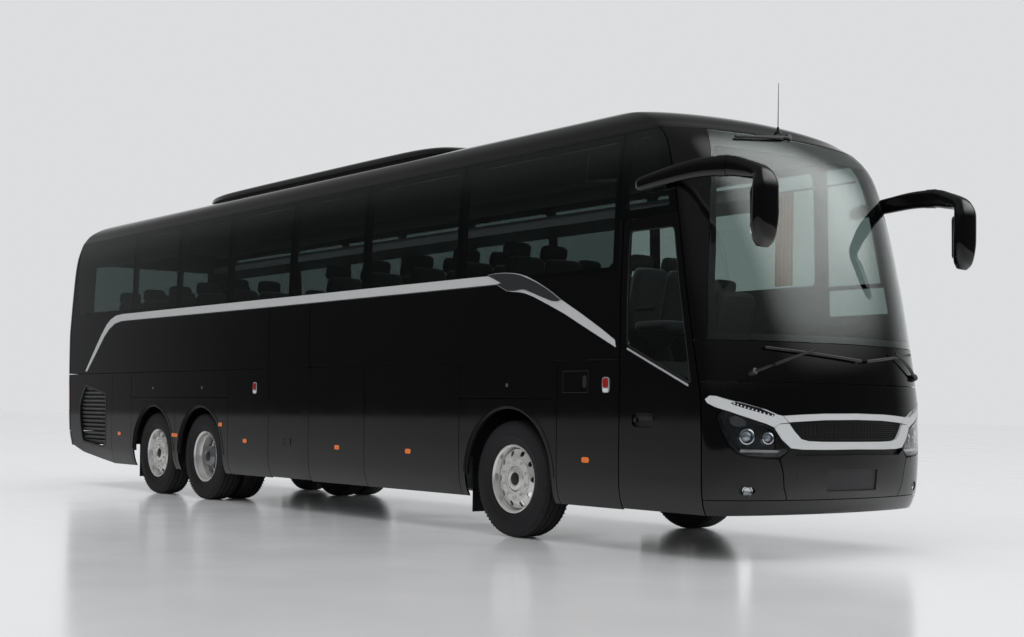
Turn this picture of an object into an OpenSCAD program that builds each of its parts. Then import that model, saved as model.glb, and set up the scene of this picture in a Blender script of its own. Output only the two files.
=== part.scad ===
// Three-axle high-deck coach. X runs forward, Y to the left, Z up, in millimetres.
// The working frame has X = 0 at the front axle; place() moves it so that the origin is
// on the ground under the middle of the vehicle, mirrors included.

/* [Body] */
// Width of the body over its side panels
body_w = 2550; // [2300:10:3060]
// Front axle to drive axle
wheelbase = 6090; // [5075:10:7308]
// Drive axle to trailing axle
bogie = 1350; // [1200:10:1620]
// Nose ahead of the front axle
front_overhang = 2870; // [2750:10:3100]
// Tail behind the trailing axle
rear_overhang = 3015; // [2900:10:3500]
// How far the mirror heads reach ahead of the nose
mirror_reach = 170; // [120:10:240]
// Thickness of the side walls, doors and flaps
wall_t = 40; // [33:1:48]
// Thickness of the side glass
glass_t = 8; // [6:1:10]
// Thickness of the windscreen and rear glass
screen_t = 12; // [10:1:15]
// Gap round each door, flap and panel
shut_gap = 8; // [6:1:10]

/* [Floors] */
// Top of the passenger floor
floor_z = 1580; // [1570:5:1620]
// Thickness of the passenger floor
floor_t = 80; // [60:1:96]
// Top of the driver's platform
platform_z = 1150; // [1050:5:1250]
// Underside of the luggage bay
bay_z = 400; // [360:5:440]
// Thickness of the bay floor and bulkheads
bay_t = 40; // [30:1:48]

/* [Wheels] */
// Outer diameter of a tyre
tyre_d = 1044; // [870:2:1060]
// Width of a tyre
tyre_w = 295; // [245:1:305]
// Diameter of the wheel rim's bead seat
rim_d = 584; // [520:1:600]
// Width of the wheel rim
rim_w = 240; // [200:1:260]
// Outer face of the outer tyres, measured in from the body side
tyre_inset = 55; // [40:1:80]
// Distance between the centres of a twin pair
twin_pitch = 330; // [325:1:360]
// Radius of the front and trailing spindles
spindle_r = 45; // [38:1:54]
// Radius of the drive axle's spindles
drive_spindle_r = 60; // [50:1:72]
// Radius of the kingpins
kingpin_r = 25; // [21:1:30]
// Radial running clearance of pins and hubs
run_clear = 0.05; // [0.02:0.01:0.1]

/* [Interior] */
// Distance from one seat row to the next
seat_pitch = 780; // [700:10:900]
// Width of a pair of seats
seat_pair_w = 880; // [800:10:900]
// Height of the seat backs above the floor
seat_back_h = 1080; // [950:10:1150]
// Rim diameter of the steering wheel
steering_d = 450; // [400:10:500]

/* [Details] */
// Radius of the door arm posts
door_post_r = 20; // [17:1:24]
// Radius of the pins that join the doors to their arms
door_pin_r = 15; // [13:1:18]
// Length of the roof air conditioning fairing
aircon_len = 5500; // [4600:50:6500]
// Width of the roof air conditioning fairing
aircon_w = 1560; // [1300:10:1700]
// Height of the roof antenna
antenna_h = 410; // [300:10:450]
// Radius of the towing eyes' holes
tow_hole_r = 20; // [17:1:24]

/* [Hidden] */

paint = "#1c1c1e";
trim_black = "#121214";
glass_grey = "#2a3030";
clear_glass = "#a9c0b8";
silver = "#c4c6c6";
steel = "#5a5d60";
rubber = "#1e1e1f";
alloy = "#b9bcbe";
cloth = "#35373d";

hw = body_w / 2;
nose_x = front_overhang;
tail_x = -(wheelbase + bogie + rear_overhang);
mirror_front = nose_x + mirror_reach;
mid_x = (mirror_front + tail_x) / 2;
drive_x = -wheelbase;
tag_x = drive_x - bogie;
wheel_r = tyre_d / 2;
fudge = 1;

// The outline at each height: z, inset of the side from the full width, setback of the nose
// from the foremost point, setback of the line where the side turns into the front,
// setback of the tail from the rearmost point, depth of the rear corner.
Z = 0; SIDE_IN = 1; NOSE_IN = 2; CORNER_IN = 3; TAIL_IN = 4; TAIL_D = 5;
levels = [
    [340, 60, 170, 440, 260, 220], [420, 25, 70, 440, 200, 220], [560, 5, 20, 440, 130, 220],
    [800, 0, 0, 440, 35, 220], [1100, 0, 5, 450, 10, 220], [1235, 0, 15, 455, 5, 220],
    [1400, 0, 25, 488, 0, 220], [1700, 0, 70, 548, 0, 220], [2050, 0, 145, 619, 5, 220],
    [2400, 12, 235, 689, 30, 220], [2700, 25, 335, 750, 60, 220], [3000, 36, 460, 820, 105, 220],
    [3200, 52, 575, 885, 150, 220], [3300, 70, 655, 940, 185, 220], [3406, 93, 750, 1050, 240, 220],
    [3460, 118, 830, 1140, 275, 225], [3520, 150, 920, 1240, 330, 240], [3600, 235, 1130, 1480, 480, 300],
    [3650, 345, 1360, 1800, 700, 380], [3690, 515, 1720, 2300, 1150, 520], [3715, 775, 2270, 3000, 1850, 650]];
function col(z, c) = lookup(z, [for (r = levels) [r[Z], r[c]]]);
function half(z) = hw - col(z, SIDE_IN);
function nose(z) = nose_x - col(z, NOSE_IN);
function corner(z) = nose_x - col(z, CORNER_IN);
function tail(z) = tail_x + col(z, TAIL_IN);
function tail_corner(z) = tail(z) + col(z, TAIL_D);
nose_power = 1.8;
tail_power = 3.5;

// A point on the front, or the rear, of the outline at height z: a runs from -90 on the right
// to 90 on the left. The inset is measured inwards, so that a wall has two faces.
function front_pt(z, a, inset = 0) =
    let (w = half(z) - inset, d = nose(z) - inset - corner(z), e = 2 / nose_power)
    [corner(z) + d * pow(abs(cos(a)), e), sign(a) * w * pow(abs(sin(a)), e), z];
function rear_pt(z, a, inset = 0) =
    let (w = half(z) - inset, d = col(z, TAIL_D) - inset, e = 2 / tail_power)
    [tail_corner(z) - d * pow(abs(cos(a)), e), sign(a) * w * pow(abs(sin(a)), e), z];
function front_angle(z, y) = sign(y) * asin(pow(min(1, abs(y) / half(z)), nose_power / 2));
function rear_angle(z, y) = sign(y) * asin(pow(min(1, abs(y) / half(z)), tail_power / 2));
function front_x(z, y, inset = 0) =
    let (w = half(z) - inset, d = nose(z) - inset - corner(z))
    corner(z) + d * pow(1 - pow(abs(y) / w, nose_power), 1 / nose_power);
function rear_x(z, y, inset = 0) =
    let (w = half(z) - inset, d = col(z, TAIL_D) - inset)
    tail_corner(z) - d * pow(1 - pow(abs(y) / w, tail_power), 1 / tail_power);
function steps(a, b, n) = [for (i = [0:n]) a + (b - a) * i / n];
function rows(z0, z1) = concat([z0], [for (r = levels) if (r[Z] > z0 + 5 && r[Z] < z1 - 5) r[Z]], [z1]);

// A closed wall between two grids of points, seen from outside: each row runs from right to left.
module plate(a, b) {
    r = len(a) - 1;
    c = len(a[0]) - 1;
    n = c + 1;
    off = (r + 1) * n;
    function p(i, j) = i * n + j;
    function q(i, j) = off + i * n + j;
    polyhedron(
        points = concat([for (row = a) each row], [for (row = b) each row]),
        faces = concat(
            [for (i = [0:r - 1], j = [0:c - 1]) each [
                [p(i, j), p(i + 1, j), p(i + 1, j + 1)], [p(i, j), p(i + 1, j + 1), p(i, j + 1)],
                [q(i, j), q(i + 1, j + 1), q(i + 1, j)], [q(i, j), q(i, j + 1), q(i + 1, j + 1)]]],
            [for (j = [0:c - 1]) each [
                [p(0, j), p(0, j + 1), q(0, j + 1)], [p(0, j), q(0, j + 1), q(0, j)],
                [p(r, j + 1), p(r, j), q(r, j)], [p(r, j + 1), q(r, j), q(r, j + 1)]]],
            [for (i = [0:r - 1]) each [
                [p(i + 1, 0), p(i, 0), q(i, 0)], [p(i + 1, 0), q(i, 0), q(i + 1, 0)],
                [p(i, c), p(i + 1, c), q(i + 1, c)], [p(i, c), q(i + 1, c), q(i, c)]]]));
}

// A piece of the front or of the rear between two heights and two angles given at each height.
module front_wall(zs, from, to, t, n) {
    plate([for (i = [0:len(zs) - 1]) [for (a = steps(from[i], to[i], n)) front_pt(zs[i], a)]],
          [for (i = [0:len(zs) - 1]) [for (a = steps(from[i], to[i], n)) front_pt(zs[i], a, t)]]);
}
module rear_piece(zs, from, to, t, n) {
    plate([for (i = [0:len(zs) - 1]) [for (a = steps(to[i], from[i], n)) rear_pt(zs[i], a)]],
          [for (i = [0:len(zs) - 1]) [for (a = steps(to[i], from[i], n)) rear_pt(zs[i], a, t)]]);
}
function same(v, zs) = [for (z = zs) v];

module place() { translate([-mid_x, 0, 0]) children(); }
module both_sides() {
    children();
    mirror([0, 1, 0]) children();
}
module on_side(side) {
    if (side > 0) children();
    else mirror([0, 1, 0]) children();
}
module block(lo, hi) { translate(lo) cube(hi - lo); }

// A strip of the left side wall from x0 to x1 between two heights and two insets.
module side_strip(x0, x1, z0, z1, out, in) {
    zs = rows(z0, z1);
    translate([x0, 0, 0]) rotate([90, 0, 90]) linear_extrude(x1 - x0)
        polygon(concat([for (z = zs) [half(z) - out, z]],
                       [for (i = [len(zs) - 1:-1:0]) [half(zs[i]) - in, zs[i]]]));
}
// An outline in X and Z, pushed through the left side.
module side_cut(pts) {
    translate([0, hw + 60, 0]) rotate([90, 0, 0]) linear_extrude(400) polygon(pts);
}
module side_hole(x0, x1, z0, z1) { side_cut([[x0, z0], [x1, z0], [x1, z1], [x0, z1]]); }
// What lies behind the front corner line and ahead of the rear corner line.
module between_corners(gap) {
    zs = rows(200, 3500);
    side_cut(concat([for (z = zs) [corner(z) - gap, z]],
                    [for (i = [len(zs) - 1:-1:0]) [tail_corner(zs[i]) + gap, zs[i]]]));
}
module bar(p, q, w, h) {
    v = q - p;
    l = norm(v);
    translate(p) rotate([0, -asin(v[2] / l), atan2(v[1], v[0])])
        translate([0, -w / 2, -h / 2]) cube([l, w, h]);
}
// Rings of an upright ellipse along a path, closed at both ends.
module swept(path, w, h, sides) {
    n = len(path);
    ring = [for (k = [0:sides - 1]) [cos(360 * k / sides), sin(360 * k / sides)]];
    function dir(i) = let (v = path[min(i + 1, n - 1)] - path[max(i - 1, 0)]) v / norm(v);
    function up(i) = let (d = dir(i), u = [-d[2], 0, d[0]]) u / norm(u);
    polyhedron(
        points = concat([for (i = [0:n - 1], r = ring)
                path[i] + [0, r[0] * w[i] / 2, 0] + up(i) * r[1] * h[i] / 2], [path[0], path[n - 1]]),
        faces = concat(
            [for (i = [0:n - 2], k = [0:sides - 1]) let (m = (k + 1) % sides) each [
                [i * sides + k, (i + 1) * sides + m, i * sides + m],
                [i * sides + k, (i + 1) * sides + k, (i + 1) * sides + m]]],
            [for (k = [0:sides - 1]) let (m = (k + 1) % sides) [n * sides, k, m]],
            [for (k = [0:sides - 1]) let (m = (k + 1) % sides)
                [n * sides + 1, (n - 1) * sides + m, (n - 1) * sides + k]]));
}

// Places along the side, each tied to the axle or the corner that it belongs to.
seam_z = 1560;
belt_z = 2275;
glass_top = 3400;
rail_z = 3340;
skirt_z = 340;
top_z = 3406;
door_rear = nose_x - 1380;
door_top = 2680;
front_arch_fore = 696;
front_arch_aft = -721;
drive_arch_fore = drive_x + 737;
between_arches = drive_x - 682;
tag_arch_aft = tag_x - 664;
grille_panel_fore = tag_arch_aft - 629;
bay_span = front_arch_aft - drive_arch_fore;
flap_edges = [for (f = [0, 0.354, 0.5955, 0.7876]) front_arch_aft - f * bay_span];
mid_door_fore = flap_edges[2];
mid_door_aft = flap_edges[3];
mid_door_top = 2245;
front_arch_r = 630;
rear_arch_r = 600;
arch_z = 540;
skirt_rise = 550;
pane_splits = [1430, front_arch_aft - 40, flap_edges[1] - 47, mid_door_fore - 436,
    drive_arch_fore - 43, between_arches + 1, tag_arch_aft - 6];
pane_tail = tail_x + 405;

// Wheels and axles.
wheel_y = hw - tyre_inset - tyre_w / 2;
kingpin_y = wheel_y - 132;
twin_y = wheel_y - twin_pitch;
rail_top = 860;
rail_bottom = 700;
front_rail_y = 410;
rear_rail_y = 485;
rail_w = 80;
inner_y = hw - wall_t;
underfloor = floor_z - floor_t;

module rails(x0, x1, y) {
    both_sides() block([x0, y - rail_w, rail_bottom], [x1, y, rail_top]);
}
// A towing jaw under a cross-member: a hanger, and a flat plate ahead of it that takes an upright pin.
tow_t = 40;
tow_w = 100;
tow_reach = 110;
tow_tip = 176;
module tow_jaw(x, ahead, z, top) {
    block([x - beam_w / 4, -rail_w / 2, z], [x + beam_w / 4, rail_w / 2, top]);
    difference() {
        block([min(x, x + sign(ahead) * tow_tip), -tow_w / 2, z - tow_t], [max(x, x + sign(ahead) * tow_tip), tow_w / 2, z]);
        translate([x + ahead, 0, z - tow_t - fudge]) cylinder(h = tow_t + 2 * fudge, r = tow_hole_r, $fn = 48);
    }
}
tow_x = nose_x - 410;
rear_frame_end = tail_x + 240;
engine_x0 = tail_x + 560;
engine_len = 1400;
beam_w = 120;
beam_h = 80;
front_beams = [front_arch_aft, -60, 1100, tow_x - beam_w / 2];
rear_beams = [rear_frame_end, engine_x0, engine_x0 + engine_len - beam_w, tag_x + 400, drive_x - 600,
    drive_arch_fore - beam_w];
lid_y = 930;
lid_z0 = 760;
// Front and rear subframes, joined through the luggage bay between them.
module chassis_frame() {
    color(steel) place() {
        rails(front_arch_aft, front_x(600, front_rail_y, wall_t) - 0.3, front_rail_y);
        for (x = front_beams)
            block([x, -front_rail_y + rail_w, rail_bottom], [x + beam_w, front_rail_y - rail_w, rail_top]);
        tow_jaw(tow_x, tow_reach, 460, rail_bottom);
        rails(rear_frame_end, drive_arch_fore, rear_rail_y);
        for (x = rear_beams)
            block([x, -rear_rail_y, rail_bottom - beam_h], [x + beam_w, rear_rail_y, rail_bottom]);
        tow_jaw(rear_frame_end + beam_w / 2, -tow_reach, 540, rail_bottom - beam_h);
        both_sides() block([rear_x(lid_z0 + 5, rear_rail_y, wall_t) + seat_gap, rear_rail_y - rail_w, lid_z0 + 5],
                           [rear_frame_end + beam_w, rear_rail_y, lid_z0 + 45]);
        front_post_base();
    }
}
bay_x0 = drive_arch_fore;
bay_x1 = front_arch_aft;
seat_gap = 0.3;
bay_half = half(bay_z) - wall_t - seat_gap;
pad_x = bay_x1 - 200;
pad_y = 950;
pad_t = 30;
mid_wall_aft = mid_door_aft - bay_t - 60;
mid_wall_fore = mid_door_fore + 60;
module luggage_bay() {
    color(steel) place() {
        block([bay_x0, -bay_half, bay_z], [bay_x1, bay_half, bay_z + bay_t]);
        for (x = [bay_x0, mid_wall_aft, mid_wall_fore, bay_x1 - bay_t])
            block([x, -bay_half, bay_z + bay_t], [x + bay_t, bay_half, underfloor]);
        both_sides() for (x = [bay_x0 + 200, pad_x])
            block([x - 75, pad_y - 75, bay_z - pad_t], [x + 75, pad_y + 75, bay_z]);
        mid_post_base();
    }
}
stair_w = 760;
well_y = inner_y - stair_w;
front_well_x = 1040;
tread_t = 30;
platform_t = 50;
module stair(x0, x1, y_out, z0, z1, n) {
    rise = (z1 - z0) / n;
    going = (y_out - well_y) / n;
    for (i = [0:n - 1])
        block([x0, -y_out + i * going, z0 + i * rise], [x1, -y_out + (i + 1) * going, z0 + i * rise + rise + tread_t]);
}
aisle_y = 300;
module cabin_floor() {
    color("#4b4d52") place() {
        difference() {
            block([tail_x + 420, -inner_y, underfloor], [front_well_x, inner_y, floor_z]);
            block([mid_door_aft + 10, -inner_y - fudge, underfloor - fudge],
                  [mid_door_fore - 10, -well_y, floor_z + fudge]);
        }
        difference() {
            block([front_well_x, -inner_y, platform_z - platform_t],
                  [corner(platform_z) - 60, inner_y, platform_z]);
            block([door_rear - 10, -inner_y - fudge, platform_z - platform_t - fudge],
                  [nose_x, -well_y, platform_z + fudge]);
        }
        block([front_well_x - bay_t, -inner_y, platform_z - platform_t], [front_well_x, inner_y, underfloor]);
        stair(door_rear + 20, corner(platform_z) - 140, bay_half - 15, bay_z, platform_z - tread_t, 3);
        stair(mid_door_aft + 12, mid_door_fore - 12, arm_y - 45, bay_z + bay_t, floor_z - tread_t, 5);
        for (i = [0:1])
            block([front_well_x, -aisle_y, platform_z + i * (floor_z - platform_z) / 3],
                  [front_well_x + 500 - i * 250, aisle_y, platform_z + (i + 1) * (floor_z - platform_z) / 3]);
    }
}
housing_top = 1215;
shell_t = 15;
module housing(x0, x1, y0, wall_z) {
    block([x0, y0, housing_top - shell_t], [x1, inner_y, housing_top]);
    block([x0, y0, wall_z], [x1, y0 + shell_t, housing_top - shell_t]);
    for (x = [x0, x1 - shell_t])
        block([x, y0 + shell_t, rail_bottom], [x + shell_t, half(rail_bottom) - wall_t, housing_top - shell_t]);
}
flap_t = 8;
housing_gap = 20;
module mudflap(x, z) { block([x, wheel_y - 110, z], [x + flap_t, half(skirt_z) - wall_t - 5, rail_bottom + 100]); }
// Housings over the wheels, with the mudflaps that hang behind the front and trailing wheels.
module wheel_housings() {
    front = front_arch_r + housing_gap;
    rear = rear_arch_r + housing_gap;
    color(trim_black) place() both_sides() {
        housing(-front, front, front_rail_y, rail_bottom);
        housing(tag_x - rear, drive_x + rear, rear_rail_y, rail_bottom);
        mudflap(-front + shell_t, 190);
        mudflap(tag_x - rear + shell_t, 195);
    }
}

// Axles, knuckles and wheels.
eye_h = 100;
eye_r = 55;
axle_z = wheel_r;
module axle_eye(y) {
    difference() {
        union() {
            translate([0, y, axle_z]) cylinder(h = eye_h, r = eye_r, center = true, $fn = 64);
            block([-40, y - 140, axle_z - 45], [40, y - 20, axle_z + 45]);
        }
        translate([0, y, axle_z]) cylinder(h = eye_h + 20, r = kingpin_r + run_clear, center = true, $fn = 48);
    }
}
module front_axle_beam() {
    color(steel) place() {
        both_sides() axle_eye(kingpin_y);
        both_sides() block([-50, kingpin_y - 240, axle_z - 110], [50, kingpin_y - 139, axle_z + 45]);
        block([-50, -(kingpin_y - 240), axle_z - 110], [50, kingpin_y - 240, axle_z - 10]);
    }
}
module drive_axle_housing() {
    color(steel) place() translate([drive_x, 0, axle_z]) {
        rotate([90, 0, 0]) cylinder(h = 2 * (twin_y - 150), r = 80, center = true, $fn = 64);
        rotate([90, 0, 0]) cylinder(h = 2 * (wheel_y + 60), r = drive_spindle_r, center = true, $fn = 64);
        rotate([90, 0, 0]) cylinder(h = 260, r = 190, center = true, $fn = 64);
    }
}
module tag_axle_beam() {
    color(steel) place() translate([tag_x, 0, axle_z]) {
        block([-55, -(wheel_y - 230), -60], [55, wheel_y - 230, 60]);
        rotate([90, 0, 0]) cylinder(h = 2 * (wheel_y + 60), r = spindle_r, center = true, $fn = 64);
    }
}
spring_r = 110;
module spring_at(x, y, z0) {
    translate([x, y, z0]) cylinder(h = rail_bottom - z0, r = spring_r, $fn = 48);
}
module air_springs() {
    color(rubber) place() both_sides() {
        spring_at(0, front_rail_y - 50, axle_z - 10);
        spring_at(drive_x, rear_rail_y - 50, axle_z + 80);
        spring_at(tag_x, rear_rail_y - 50, axle_z + 60);
    }
}
module engine_block() {
    color("#6a6c6e") place()
        block([engine_x0, -(rear_rail_y - rail_w - 25), rail_bottom], [engine_x0 + engine_len, rear_rail_y - rail_w - 25, 1330]);
}
// A knuckle: fork, kingpin and spindle, drawn for the left wheel.
ear_t = 35;
module knuckle(side) {
    on_side(side) translate([0, kingpin_y, axle_z]) {
        cylinder(h = eye_h + 2 * ear_t, r = kingpin_r, center = true, $fn = 48);
        for (z = [eye_h / 2 + 0.3, -eye_h / 2 - 0.3 - ear_t]) translate([0, 0, z]) {
            cylinder(h = ear_t, r = eye_r - 5, $fn = 64);
            block([-40, 0, 0], [40, eye_r + 5, ear_t]);
        }
        block([-50, eye_r + 5, -eye_h / 2 - ear_t - 0.3], [50, eye_r + 30, eye_h / 2 + ear_t + 0.3]);
        translate([0, eye_r + 30, 0]) rotate([-90, 0, 0]) cylinder(h = 132 + 60 - eye_r - 30, r = spindle_r, $fn = 64);
    }
}
module right_knuckle() { color(steel) place() knuckle(-1); }
module left_knuckle() { color(steel) place() knuckle(1); }

carcass = 28;
flange_h = 16;
// A tyre and a rim about the Y axis at the origin, outer face towards +Y.
module tyre() {
    w = tyre_w / 2;
    bead = rim_d / 2;
    seat = -rim_w / 2 + 15;
    rotate([-90, 0, 0]) rotate_extrude($fn = 96) polygon([
        [bead, seat], [bead + flange_h + 3, seat], [bead + 60, -w + 6], [bead + 120, -w], [wheel_r - 70, -w], [wheel_r - 14, -w + 18],
        [wheel_r, -w + 40], [wheel_r, w - 40], [wheel_r - 14, w - 18], [wheel_r - 70, w], [bead + 120, w],
        [bead + 60, w - 6], [bead + flange_h + 3, -seat], [bead, -seat], [bead, -seat - carcass],
        [bead + 70, w - 6 - carcass], [wheel_r - 60, w - carcass], [wheel_r - carcass, w - 60],
        [wheel_r - carcass, -w + 60], [wheel_r - 60, -w + carcass], [bead + 70, -w + 6 + carcass],
        [bead, seat + carcass]]);
}
disc_t = 14;
disc_r = 200;
barrel_t = 8;
cap_t = 20;
// A rim: barrel and flanges, a disc whose outer face is at disc_y near the hub and at root where it
// meets the barrel, and a hub round the bore, closed by a cap at its outer end or open.
module rim(disc_y, root, bore, hub, hub_r, capped) {
    b = rim_d / 2;
    w = rim_w / 2;
    rotate([-90, 0, 0]) rotate_extrude($fn = 96) polygon(concat([
        [bore, hub[0]], [hub_r, hub[0]], [hub_r, disc_y - disc_t], [disc_r, disc_y - disc_t],
        [b - barrel_t, root - disc_t], [b - barrel_t, -w], [b + flange_h, -w], [b + flange_h, -w + 12],
        [b, -w + 14], [b, w - 14], [b + flange_h, w - 12], [b + flange_h, w], [b - barrel_t, w],
        [b - barrel_t, root], [disc_r, disc_y], [hub_r, disc_y], [hub_r, hub[1]]],
        capped ? [[0, hub[1]], [0, hub[1] - cap_t], [bore, hub[1] - cap_t]] : [[bore, hub[1]]]));
}
module single_rim() { rim(92, 60, spindle_r + run_clear, [-30, 110], 130, true); }
module at_wheel(x, y, side) { on_side(side) translate([x, y, axle_z]) children(); }
twin_disc = twin_pitch / 2;
// The discs of a twin pair are bolted back to back, halfway between the two tyres.
module twin_rims() {
    outer_disc = disc_t - twin_disc;
    rim(outer_disc, -85, drive_spindle_r + run_clear, [-twin_disc, 90], 125, true);
    translate([0, -twin_pitch, 0]) mirror([0, 1, 0])
        rim(outer_disc, -85, drive_spindle_r + run_clear, [-twin_disc, 60], 125, false);
}
module twin_tyres() {
    tyre();
    translate([0, -twin_pitch, 0]) tyre();
}
module front_tyre_right() { color(rubber) place() at_wheel(0, wheel_y, -1) tyre(); }
module front_tyre_left() { color(rubber) place() at_wheel(0, wheel_y, 1) tyre(); }
module front_rim_right() { color(alloy) place() at_wheel(0, wheel_y, -1) single_rim(); }
module front_rim_left() { color(alloy) place() at_wheel(0, wheel_y, 1) single_rim(); }
module drive_tyres_right() { color(rubber) place() at_wheel(drive_x, wheel_y, -1) twin_tyres(); }
module drive_tyres_left() { color(rubber) place() at_wheel(drive_x, wheel_y, 1) twin_tyres(); }
module drive_rims_right() { color(alloy) place() at_wheel(drive_x, wheel_y, -1) twin_rims(); }
module drive_rims_left() { color(alloy) place() at_wheel(drive_x, wheel_y, 1) twin_rims(); }
module tag_tyre_right() { color(rubber) place() at_wheel(tag_x, wheel_y, -1) tyre(); }
module tag_tyre_left() { color(rubber) place() at_wheel(tag_x, wheel_y, 1) tyre(); }
module tag_rim_right() { color(alloy) place() at_wheel(tag_x, wheel_y, -1) single_rim(); }
module tag_rim_left() { color(alloy) place() at_wheel(tag_x, wheel_y, 1) single_rim(); }

// Roof: a closed ring of points at each level, with a flat crown.
roof_t = 45;
roof_zs = [for (r = levels) if (r[Z] >= top_z) r[Z]];
function ring(z, inset, drop) = concat(
    [for (a = steps(-90, 90, 24)) let (p = front_pt(z, a, inset)) [p[0], p[1], z - drop]],
    [for (a = steps(90, -90, 24)) let (p = rear_pt(z, a, inset)) [p[0], p[1], z - drop]]);
module roof_panel() {
    outer = [for (z = roof_zs) ring(z, 0, 0)];
    inner = [for (z = roof_zs) ring(z, roof_t, roof_t * min(1, (z - top_z) / 120))];
    n = len(outer[0]);
    r = len(roof_zs) - 1;
    off = (r + 1) * n;
    crown = [(nose(roof_zs[r]) + tail(roof_zs[r])) / 2, 0, roof_zs[r]];
    color(paint) place() polyhedron(
        points = concat([for (row = outer) each row], [for (row = inner) each row], [crown, crown - [0, 0, roof_t]]),
        faces = concat(
            [for (i = [0:r - 1], j = [0:n - 1]) let (k = (j + 1) % n) each [
                [i * n + j, (i + 1) * n + j, (i + 1) * n + k], [i * n + j, (i + 1) * n + k, i * n + k],
                [off + i * n + j, off + (i + 1) * n + k, off + (i + 1) * n + j],
                [off + i * n + j, off + i * n + k, off + (i + 1) * n + k]]],
            [for (j = [0:n - 1]) let (k = (j + 1) % n) each [
                [j, k, off + k], [j, off + k, off + j],
                [2 * off, r * n + k, r * n + j], [2 * off + 1, off + r * n + j, off + r * n + k]]]));
}
crown_z = levels[len(levels) - 1][Z];
aircon_x1 = -1700;
aircon_x0 = aircon_x1 - aircon_len;
aircon_h = 150;
plinth_h = 15;
// Fairing sections: distance from the middle as a share of the half length, width share, height share.
aircon_rings = [[-1, 0.5, 0.15], [-0.96, 0.8, 0.5], [-0.88, 0.95, 0.8], [-0.7, 1, 0.95], [-0.3, 1, 1],
    [0.3, 1, 1], [0.7, 1, 0.95], [0.88, 0.95, 0.8], [0.96, 0.8, 0.5], [1, 0.5, 0.15]];
module roof_aircon() {
    mid = (aircon_x0 + aircon_x1) / 2;
    base = crown_z + plinth_h;
    arc = steps(0, 180, 12);
    n = len(arc);
    m = len(aircon_rings);
    pts = [for (g = aircon_rings, a = arc) [
        mid + g[0] * aircon_len / 2,
        -cos(a) * aircon_w / 2 * g[1],
        base + aircon_h * g[2] * pow(sin(a), 0.6)]];
    color(paint) place() {
        polyhedron(points = pts, faces = concat(
            [for (i = [0:m - 2], j = [0:n - 2]) each [
                [i * n + j, i * n + j + 1, (i + 1) * n + j + 1], [i * n + j, (i + 1) * n + j + 1, (i + 1) * n + j]]],
            [for (i = [0:m - 2]) each [
                [i * n, (i + 1) * n, (i + 1) * n + n - 1], [i * n, (i + 1) * n + n - 1, i * n + n - 1]]],
            [for (j = [1:n - 2]) [0, j + 1, j]],
            [for (j = [1:n - 2]) [(m - 1) * n, (m - 1) * n + j, (m - 1) * n + j + 1]]));
        block([mid - aircon_len * 0.42, -aircon_w * 0.3, crown_z], [mid + aircon_len * 0.42, aircon_w * 0.3, base]);
    }
}

// Side walls, drawn on the left.
pillar_w = 60;
function pane_x(i) = pane_splits[i];
pane_count = len(pane_splits);
module window_holes() {
    for (i = [0:pane_count - 2])
        side_hole(pane_x(i + 1) + pillar_w, pane_x(i) - pillar_w, belt_z + 40, rail_z);
    side_cut([[pane_tail + 420, belt_z + 40], [pane_x(pane_count - 1) - pillar_w, belt_z + 40],
              [pane_x(pane_count - 1) - pillar_w, rail_z], [pane_tail + 120, rail_z], [pane_tail + 120, belt_z + 300]]);
}
module side_wall_blank() {
    intersection() {
        difference() {
            side_strip(tail_x, nose_x, seam_z + shut_gap / 2, top_z, 0, wall_t);
            difference() {
                side_strip(pane_tail, nose_x, belt_z, glass_top, -50, glass_t);
                side_cut([[pane_tail - fudge, belt_z - fudge], [pane_tail + 300, belt_z - fudge], [pane_tail - fudge, belt_z + 300]]);
            }
            window_holes();
        }
        between_corners(shut_gap);
    }
}
quarter_z = door_top + shut_gap;
driver_sill = belt_z - 250;
// The outline of an opening behind the front corner line.
function front_window(z0, z1, lead, aft) =
    concat([for (z = rows(z0, z1)) [corner(z) - lead, z]], [[aft, z1], [aft, z0]]);
module right_side_wall() {
    color(paint) place() mirror([0, 1, 0]) difference() {
        side_wall_blank();
        side_hole(mid_door_aft - shut_gap, mid_door_fore + shut_gap, seam_z - 50, mid_door_top + shut_gap);
        side_hole(door_rear - shut_gap, nose_x + 100, seam_z - 50, quarter_z);
        side_cut(front_window(quarter_z + 70, rail_z, 90, door_rear + 20));
    }
}
module left_side_wall() {
    color(paint) place() difference() {
        side_wall_blank();
        side_cut(front_window(driver_sill, rail_z, 90, door_rear + 20));
    }
}
module pane(pts, low = belt_z) {
    intersection() {
        side_strip(tail_x, nose_x, low, glass_top, 0, glass_t);
        side_cut(pts);
        between_corners(shut_gap);
    }
}
pane_gap = 3;
module main_panes() {
    for (i = [0:pane_count - 2])
        pane([[pane_x(i + 1) + pane_gap, belt_z], [pane_x(i) - pane_gap, belt_z],
              [pane_x(i) - pane_gap, glass_top], [pane_x(i + 1) + pane_gap, glass_top]]);
    pane([[pane_tail + 300, belt_z], [pane_x(pane_count - 1) - pane_gap, belt_z],
          [pane_x(pane_count - 1) - pane_gap, glass_top], [pane_tail, glass_top], [pane_tail, belt_z + 300]]);
}
module side_glazing() {
    lead = shut_gap + 4;
    aft = pane_x(0) + pane_gap;
    color(glass_grey) place() {
        both_sides() main_panes();
        mirror([0, 1, 0]) pane(front_window(quarter_z, glass_top, lead, aft));
        pane(front_window(belt_z, glass_top, lead, aft));
        pane(front_window(driver_sill + seat_gap, belt_z - pane_gap, 90 + seat_gap, door_rear + 20 + seat_gap), driver_sill);
    }
}

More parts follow.
